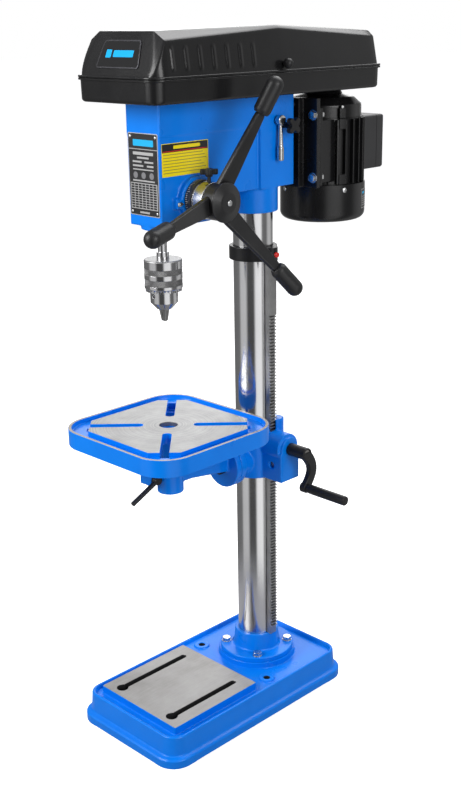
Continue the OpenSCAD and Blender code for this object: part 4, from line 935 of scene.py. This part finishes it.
def lid_ring(y):
    """Closed outline at one depth: foot, shoulder and top with rounded folds, mirrored, then back inside."""
    foot, shoulder, top, z_shoulder, z_top = [np.interp(y, SECTIONS[:, 0], SECTIONS[:, k])
                                              for k in range(1, 6)]
    fold = np.hypot(shoulder - top, z_top - z_shoulder)
    bend = min(5.5, 0.3 * (z_shoulder - LID_FOOT), 0.8 * fold)
    crease = min(5.0, 0.8 * fold)
    half = arcs([[foot, LID_FOOT], [shoulder, z_shoulder], [top, z_top], [0, z_top + 0.001]],
                [0, bend, crease, 0], 5, closed=False)
    whole = np.vstack([half, np.c_[-half[-2::-1, 0], half[-2::-1, 1]]])
    along = np.r_[0, np.cumsum(np.hypot(*np.diff(whole, axis=0).T))]
    share = np.linspace(0, along[-1], ACROSS)
    outer = np.c_[np.interp(share, along, whole[:, 0]), np.interp(share, along, whole[:, 1])]
    run = np.gradient(outer, axis=0)
    run /= np.hypot(run[:, 0], run[:, 1])[:, None]
    rib = np.clip(1.6 - np.abs((y + 8) % 30 - 15) / 3.0, 0, 1) * (-206 < y < -6)
    rib = rib * np.clip((outer[:, 1] - 1208) / 2.5, 0, 1) * np.clip((1244 - outer[:, 1]) / 2.5, 0, 1)
    outer[:, 0] += 1.1 * rib * np.sign(outer[:, 0])
    inner = outer + 2.6 * np.c_[-run[:, 1], run[:, 0]]
    inner[:, 1] = np.maximum(inner[:, 1], LID_FOOT)
    from_end = np.clip(min(y + 242, 313 - y), 0, LID_CORNER)
    narrow = 1 - (LID_CORNER - np.sqrt(LID_CORNER ** 2 - (LID_CORNER - from_end) ** 2)) / 97
    ring = np.vstack([outer, inner[::-1]])
    return np.c_[ring[:, 0] * narrow, y + 0 * ring[:, 0], ring[:, 1]]


depths = np.unique(np.r_[-242, -241.7, -241.2, -240.5, -240, np.linspace(-239, -216, 12),
                         np.linspace(-214, -206, 7), np.linspace(-204, 0, 137), np.linspace(4, 296, 40),
                         np.linspace(299, 311, 9), 311.5, 312.4, 313])
rings = np.array([lid_ring(y) for y in depths])
edge = rings.shape[1]
j = np.arange(ACROSS - 1)
cap = np.c_[j, j + 1, edge - 2 - j, edge - 1 - j]
lid_shell = [skin(rings), (rings[0], cap, 0), (rings[-1], cap, 0)]
lid_flange = plate(oblong(103, 283, 28, 10, TRAY_MIDDLE), [oblong(94.6, 274, 20, 10, (0, 35.5))],
                   (1196, 1200), 1.3)
hinge_parts = []
for y in (-99, 201):
    hinge_parts += [knuckle(y), plate(oblong(4, 10, 0.5, 2, (-102.5, y + 10)), [], (1196.3, 1199.3), 0.4)]
lid = solid("lid_pressing", [lid_shell, lid_flange, *hinge_parts], [cover_black], 50)
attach(lid, "lid")
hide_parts("cover_lid")

# ---- badge and lid knob ----
# A glossy black badge in a thin dark frame on the front slope; a plain light blue bar and square stand where
# the mark was. The knob is a black ball on a short stem.
badge_gloss = surface("badge_gloss_black", PEEL, ((0.003, 0.003, 0.0035), (0.007, 0.007, 0.0075)),
                      (0.06, 0.12), 300.0, 0.00001, coat=0.6)
badge_frame = printed("badge_dark_frame", (0.10, 0.10, 0.11), (0.2, 0.3), 0.8)
badge_blue = printed("badge_light_blue", (0.0, 0.40, 0.80), (0.15, 0.25))
BADGE_SEAT = (0, -228.2, 1232.5)
lean = Matrix.Rotation(np.radians(-21.8), 3, "X")
badge_parts = []
outline = arcs([[-52, -23], [52, -23], [44, 23], [-44, 23]], [5, 5, 7, 7], 5)
for low, high, inset, mark in ((0.1, 1.0, 0, 1), (1.0, 1.15, 2.2, 0)):
    soften = 0.06 if mark == 0 else 0.4
    badge_parts.append(plate(spread(outline, -inset), [], (low, high), soften, mark, mark))
badge_parts += [bar(-33, -20, -6, 7, 1.15, 1.3, 2, 1.2), bar(-15, 33, -5, 6, 1.15, 1.3, 2, 1.2)]
on_slope = [placed(upright(part), BADGE_SEAT, turn=lean) for part in badge_parts]
badge = solid("badge_plate", on_slope, [badge_gloss, badge_frame, badge_blue])
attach(badge, "lid")
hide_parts("lid_badge")
turn = np.linspace(0.38, np.pi, 20)
ball_line = np.vstack([[[0, -12], [3.2, -12]], np.c_[8.5 * np.sin(turn), -8.5 * np.cos(turn)]])
ball_line[-1, 0] = 0
lid_knob = solid("lid_ball_knob", [placed([lathe(ball_line, 40)], (106, 47.7, 1210), "x")], [moulded_black])
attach(lid_knob, "lid")
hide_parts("lid_knob")

# ---- pulleys and belts ----
# Cast aluminium step pulleys, turned bright, with two black rubber belts; they run inside the cover.
cast_aluminium = surface("turned_aluminium", POLISH, ((0.42, 0.42, 0.43), (0.66, 0.66, 0.67)), (0.24, 0.38),
                         1600.0, 0.00002, metal=1.0, soft=0.0006)
dress(cast_aluminium, "spindle_pulley", "idler_pulley", "motor_pulley")
belt_rubber = surface("belt_rubber", PEEL, ((0.008, 0.008, 0.008), (0.024, 0.024, 0.024)), (0.6, 0.78),
                      1200.0, 0.00004)
dress(belt_rubber, "motor_belt", "spindle_belt")
dress(black_steel, "idler_arm")
dress(oiled_steel, "rotor")

# ---- motor ----
# Cast housing with cooling fins and two feet, a domed end bell above and a deep drawn fan cover below, all in
# black semi gloss, bolted to a folded steel plate on two slide rods.
motor_black = surface("motor_black_enamel", PEEL, ((0.003, 0.003, 0.0035), (0.009, 0.009, 0.0095)),
                      (0.20, 0.32), 600.0, 0.00004, coat=0.1, specular=0.35)
folded_black = surface("folded_plate_black", PEEL, ((0.003, 0.003, 0.0035), (0.009, 0.009, 0.0095)),
                       (0.22, 0.34), 600.0, 0.00004, coat=0.1, soft=0.004, specular=0.4)
dress(folded_black, "motor_plate")
MOTOR = (0.0, 261.0, 0.0)
LUGS = (-22, 68, 158, 248)
FOOT_BOLT, FOOT_HEIGHTS = 66, (1005, 1116)


def round_motor(patches, degrees):
    """Patches drawn on the motor's +X side, turned about its axis."""
    return placed(patches, MOTOR, turn=Matrix.Rotation(np.radians(degrees), 3, "Z"))


body_line = arcs([[60, 976], [72, 976], [72, 984.8], [72, 990], [71, 992], [71, 1098], [72, 1100], [72, 1105],
                  [60, 1105]], [0, 0.5, 0, 0.5, 0.5, 0.5, 0.5, 0.5, 0], 2)
motor_shells = [placed([lathe(body_line, 96, loop=True)], MOTOR)]
fin = arcs([[69, -1.9], [79, -1.25], [79, 1.25], [69, 1.9]], [0, 1.1, 1.1, 0], 3)
wide_fin = arcs([[69, -2.6], [79, -2.4], [79, 2.4], [69, 2.6]], [0, 1.4, 1.4, 0], 3)
for k in range(28):
    degrees = -22 + (k + 0.5) * 360 / 28
    beside = min(abs((degrees - lug + 180) % 360 - 180) for lug in LUGS) < 8
    motor_shells.append(round_motor(plate(wide_fin if beside else fin, [], (986, 1103), 0.6), degrees))
for degrees in LUGS:
    for rise in ((985.2, 1004), (1086, 1104.8)):
        motor_shells.append(round_motor(plate(oblong(5, 6.6, 1.4, 3, (74.6, 0)), [], rise, 1.0), degrees))
for x in (-64, 64):
    motor_shells.append(plate(oblong(11, 4, 1.5, 3, (x, 170.2)), [], (990, 1128), 1.5))
    motor_shells.append(plate(oblong(3, 29, 1, 3, (0.9 * x, 199)), [], (992, 1104), 1.0))
    for z in FOOT_HEIGHTS:
        motor_shells.append(upright(hexagon(6.5, 7.2, mark=1), (FOOT_BOLT * np.sign(x), 174.2, z), 1))
motor_body = solid("motor_finned_casting", motor_shells, [motor_black, zinc])
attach(motor_body, "motor")
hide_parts("motor_housing")
bell_out = arcs([[70, 1105.1], [71, 1105.1], [71, 1128], [57, 1141], [36, 1146], [31, 1155], [11, 1155]],
                [0, 0.6, 5, 8, 4, 3, 0], 5, closed=False)
bell_in = arcs([[11, 1139], [54, 1137], [67, 1126], [67, 1105.1], [70, 1105.1]], [0, 3, 4, 0, 0], 4,
               closed=False)
bell_shells = [placed([lathe(np.vstack([bell_out, bell_in[:-1]]), 96, loop=True)], MOTOR)]
for degrees in LUGS:
    bell_shells.append(round_motor(plate(oblong(5, 6.4, 1.6, 4, (74, 0)), [], (1105.1, 1124), 1.4), degrees))
    bell_shells.append(round_motor(placed(hexagon(1128, 4.4, 1124, 1), (74, 0, 0)), degrees))
end_bell = solid("end_bell_casting", bell_shells, [motor_black, zinc])
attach(end_bell, "motor")
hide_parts("motor_end_bell")
COVER_RADIUS = 81.0
cover_out = arcs([[12, 915], [COVER_RADIUS, 915], [COVER_RADIUS, 984.6]], [0, 14, 0], 8, closed=False)
cover_in = arcs([[78.5, 984.6], [78.5, 917.5], [12, 917.5]], [0, 11.5, 0], 8, closed=False)
fan_shells = [placed([lathe(np.vstack([cover_out, cover_in]), 120, loop=True)], MOTOR)]
head_line = arcs([[0, 0], [4.4, 0], [4.4, 1.6], [0, 2.4]], [0, 0, 1.0, 0], 4, closed=False)
for degrees in LUGS:
    fan_shells.append(round_motor(placed([lathe(head_line, 24, 1)], (80.9, 0, 975), "x"), degrees + 3))
fan_cover = solid("fan_cover_drawn", fan_shells, [motor_black, zinc])
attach(fan_cover, "motor")
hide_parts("fan_cover")

# ---- motor label ----
# A small black rating label with a silver border and plain bars, bent round the fan cover's right side.


def on_drum(patches, radius, degrees):
    """Patches drawn in width and height, wrapped round the motor's axis at an angle from +X."""
    wrapped = []
    for p, faces, mark in patches:
        turn = np.radians(degrees) + p[:, 0] / radius
        out = radius + p[:, 2]
        wrapped.append((np.c_[out * np.cos(turn), MOTOR[1] + out * np.sin(turn), p[:, 1]], faces, mark))
    return wrapped


def strips(x0, x1, z0, z1, low, high, mark):
    """Flat bar cut in eight upright strips, so that it can be bent."""
    count = 8
    edges = np.linspace(x0, x1, count + 1)
    outline = np.vstack([np.c_[edges, 0 * edges + z0], np.c_[edges[::-1], 0 * edges + z1]])
    j = np.arange(count)
    faces = np.c_[j, j + 1, 2 * count - j, 2 * count + 1 - j]
    return [skin([level(outline, low), level(outline, high)], mark), (level(outline, low), faces, mark),
            (level(outline, high), faces, mark)]


rating = [strips(-16, 16, 936, 972, 0.05, 0.3, 1), strips(-15, 15, 937, 971, 0.3, 0.36, 0),
          strips(-12, -1, 963, 967, 0.36, 0.42, 2)]
rating += [strips(-12, 12 - 3 * (row % 2), 957 - 4 * row, 958.3 - 4 * row, 0.36, 0.42, 1) for row in range(5)]
rating_label = solid("motor_rating_label", [on_drum(patches, COVER_RADIUS, 27) for patches in rating],
                     [plate_black, plate_silver, print_cyan])
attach(rating_label, "motor")

# ---- junction box ----
# Moulded box on the motor's back, hollowed to the casting's curve, with generous round edges.
box_black = surface("junction_box_black", PEEL, ((0.010, 0.010, 0.011), (0.024, 0.024, 0.026)), (0.42, 0.56),
                    900.0, 0.00004)
box_profile = arcs([[-50, 1002], [50, 1002], [50, 1103], [-50, 1103]], 5, 5)
# depth and inset of each ring from the motor outwards; the four in the middle are the lid's parting groove
BOX_LINE = [(327, 0), (345, 0), (360.0, 0), (360.2, -0.7), (361.0, -0.7), (361.2, 0), (377.5, 0), (381, -0.9),
            (382.6, -2.8), (383, -5.5)]
BOX_BACK, MOTOR_SKIN = 383, 79.4
box_points = []
for y, inset in BOX_LINE:
    ring = spread(box_profile, inset)
    box_points.append(np.c_[ring[:, 0], 0 * ring[:, 0] + y, ring[:, 1]])
saddle = box_points[0]
saddle[:, 1] = MOTOR[1] + np.sqrt(np.maximum(MOTOR_SKIN ** 2 - saddle[:, 0] ** 2, 0))
small = saddle * (0.02, 0, 0.02) + (0, MOTOR[1] + MOTOR_SKIN, 1052.5 * 0.98)
box_shell = [skin(box_points), *upright([flat([spread(box_profile, -5.5)], 0)], (0, BOX_BACK, 0)),
             skin([saddle, small]), (small, np.arange(len(small))[None, :], 0)]
junction = solid("junction_box_moulding", [box_shell], [box_black])
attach(junction, "motor")
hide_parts("junction_box")

# ---- motor bolts ----
# Zinc plated hexagon bolts and washers through the plate into the feet, heads to the front.
bolt_shells = []
for x in (-FOOT_BOLT, FOOT_BOLT):
    for z in FOOT_HEIGHTS:
        for part in (washer(9.6, 4.2, 1.4, 0.02), hexagon(6.6, 7.6, 1.4)):
            bolt_shells.append(upright(part, (x, 158, z)))
motor_bolts = solid("motor_foot_bolts", bolt_shells, [zinc], 24)
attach(motor_bolts, "motor")
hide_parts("motor_bolts")

# ---- belt tension lever and slide lock ----
# A bright round lever, thickest near its free end, swings the motor plate back; a black knob of four lobes
# locks the slide.
lever_line = arcs([[0, -70], [5.4, -70], [6.4, -68], [6.4, -48], [5.0, -44], [3.6, -6], [3.6, 2], [0, 2]],
                  [0, 0.8, 0.6, 1.5, 3, 0, 0, 0], 3, closed=False)
eye_line = arcs([[0, 32], [6, 32], [6, 50.5], [9, 50.5], [9, 60], [0, 60]], [0, 0, 0, 0.8, 1.6, 0], 3,
                closed=False)
LEVER, LOCK = (84, 1112), (103, 1102)
tension_lever = solid("tension_lever_bar", [placed([lathe(lever_line, 32)], (54, *LEVER)),
                                            placed([lathe(eye_line, 40)], (0, *LEVER), "x")], [chrome])
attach(tension_lever, "lever")
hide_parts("tension_lever")
lock_neck = arcs([[0, 57], [8, 57], [8.6, 64], [0, 64]], [0, 0.8, 0, 0], 2, closed=False)
lock_knob = [plate(lobes(8.6, 5.5, 11), [], (63, 73), 1.6), [lathe(lock_neck, 36)],
             [lathe([[0, 34], [5, 34], [5, 63.5], [0, 63.5]], 24)]]
tension_lock = solid("slide_lock_knob", [placed(shell, (0, *LOCK), "x") for shell in lock_knob],
                     [moulded_black])
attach(tension_lock, "lock")
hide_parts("tension_lock")

# ---- floor, light and camera ----
# A pale studio floor that fades into white, one broad key light from the upper left front, softer fills,
# and a surrounding of upright light and dark screens for the polished parts to mirror.
floor_mesh = bpy.data.meshes.new("studio_floor")
floor_mesh.from_pydata([(-30, -30, 0), (30, -30, 0), (30, 30, 0), (-30, 30, 0)], [], [(0, 1, 2, 3)])
floor = bpy.data.objects.new("studio_floor", floor_mesh)
bpy.context.scene.collection.objects.link(floor)
paper = surface("white_paper", PEEL, ((0.86, 0.86, 0.86), (0.90, 0.90, 0.90)), (0.85, 0.95), 300.0, 0.00002)
paper_tree = paper.node_tree
lit = paper_tree.nodes["Principled BSDF"]
lit.inputs["Emission Color"].default_value = (1, 1, 1, 1)
lit.inputs["Emission Strength"].default_value = 0.62
dim = add(paper_tree, "BsdfDiffuse", {"Color": (0.34, 0.34, 0.35, 1)})
away = add(paper_tree, "VectorMath", {0: add(paper_tree, "TexCoord").outputs["Object"]}, operation="LENGTH")
beyond = add(paper_tree, "MapRange", {0: away.outputs["Value"], 1: 0.35, 2: 0.6, 3: 0.0, 4: 1.0})
near = add(paper_tree, "MixShader", {0: beyond.outputs[0], 1: dim.outputs[0],
                                     2: add(paper_tree, "BsdfTransparent").outputs[0]})
seen_direct = add(paper_tree, "LightPath").outputs["Is Camera Ray"]
facing = add(paper_tree, "MixShader", {0: seen_direct, 1: near.outputs[0], 2: lit.outputs[0]})
paper_tree.links.new(facing.outputs[0], paper_tree.nodes["Material Output"].inputs[0])
floor_mesh.materials.append(paper)
MIDDLE = (0, 0, 0.95)


def soft_light(name, at, size, power):
    """Square area light at a place in metres, aimed at the middle of the machine."""
    data = bpy.data.lights.new(name, "AREA")
    data.size = size
    data.energy = power
    made = bpy.data.objects.new(name, data)
    aim = Vector(MIDDLE) - Vector(at)
    made.matrix_world = Matrix.Translation(at) @ aim.to_track_quat("-Z", "Y").to_matrix().to_4x4()
    bpy.context.scene.collection.objects.link(made)
    return made


soft_light("key", (-0.75, -2.0, 1.8), 1.3, 55)
soft_light("right_fill", (2.6, -0.4, 1.7), 1.3, 32)
soft_light("top", (-0.15, 1.5, 3.2), 2.2, 62)
soft_light("rear_sheen", (-2.9, 3.3, 2.6), 2.6, 42)

world = bpy.data.worlds.new("studio")
bpy.context.scene.world = world
world.use_nodes = True
sky = world.node_tree
backdrop = sky.nodes["Background"]
backdrop.inputs["Color"].default_value = (1, 1, 1, 1)
direction = add(sky, "TexCoord").outputs["Generated"]
parts = add(sky, "SeparateXYZ", {0: direction})
heading = add(sky, "Math", {0: parts.outputs[1], 1: parts.outputs[0]}, operation="ARCTAN2")
place = add(sky, "MapRange", {0: heading.outputs[0], 1: -np.pi, 2: np.pi, 3: 0.0, 4: 1.0})
screens = add(sky, "ValToRGB", {0: place.outputs[0]})
# heading as a share of the turn from -X by way of -Y, +X and +Y, with the brightness there
BANDS = [(0.00, 0.20), (0.12, 0.24), (0.155, 0.75), (0.245, 0.80), (0.28, 0.10), (0.375, 0.10), (0.41, 1.25),
         (0.50, 1.30), (0.53, 0.22), (0.60, 0.20), (0.64, 0.7), (0.70, 0.7), (0.75, 0.25), (0.84, 0.6),
         (0.90, 0.6), (0.95, 0.20)]
ramp = screens.color_ramp
while len(ramp.elements) < len(BANDS):
    ramp.elements.new(0.5)
for element, (spot, bright) in zip(ramp.elements, BANDS):
    element.position = spot
    element.color = (bright, bright, bright, 1)
above = add(sky, "MapRange", {0: parts.outputs[2], 1: 0.25, 2: 0.75, 3: 0.0, 4: 1.0})
dome = add(sky, "Mix", {0: above.outputs[0], 6: screens.outputs[0], 7: (0.50, 0.50, 0.52, 1)},
           data_type="RGBA")
surround = add(sky, "Background", {"Color": dome.outputs[2], "Strength": 0.9})
seen = add(sky, "MixShader", {0: add(sky, "LightPath").outputs["Is Camera Ray"], 1: surround.outputs[0],
                              2: backdrop.outputs[0]})
sky.links.new(seen.outputs[0], sky.nodes["World Output"].inputs[0])
bpy.context.scene.view_settings.view_transform = "Standard"

HEADING, DIP, ROLL = np.radians([45.23, 18.24, -0.93])
forward = np.array([-np.sin(HEADING) * np.cos(DIP), np.cos(HEADING) * np.cos(DIP), -np.sin(DIP)])
level_right = np.array([np.cos(HEADING), np.sin(HEADING), 0.0])
level_up = np.cross(level_right, forward)
camera_right = np.cos(ROLL) * level_right + np.sin(ROLL) * level_up
camera_up = np.cos(ROLL) * level_up - np.sin(ROLL) * level_right
lens = bpy.data.cameras.new("camera")
lens.sensor_width = 36
lens.lens = 52.97
camera = bpy.data.objects.new("camera", lens)
rows = np.c_[camera_right, camera_up, -forward, (1.4836, -1.4681, 1.2928)]
camera.matrix_world = Matrix([*rows.tolist(), [0, 0, 0, 1]])
bpy.context.scene.collection.objects.link(camera)
bpy.context.scene.camera = camera
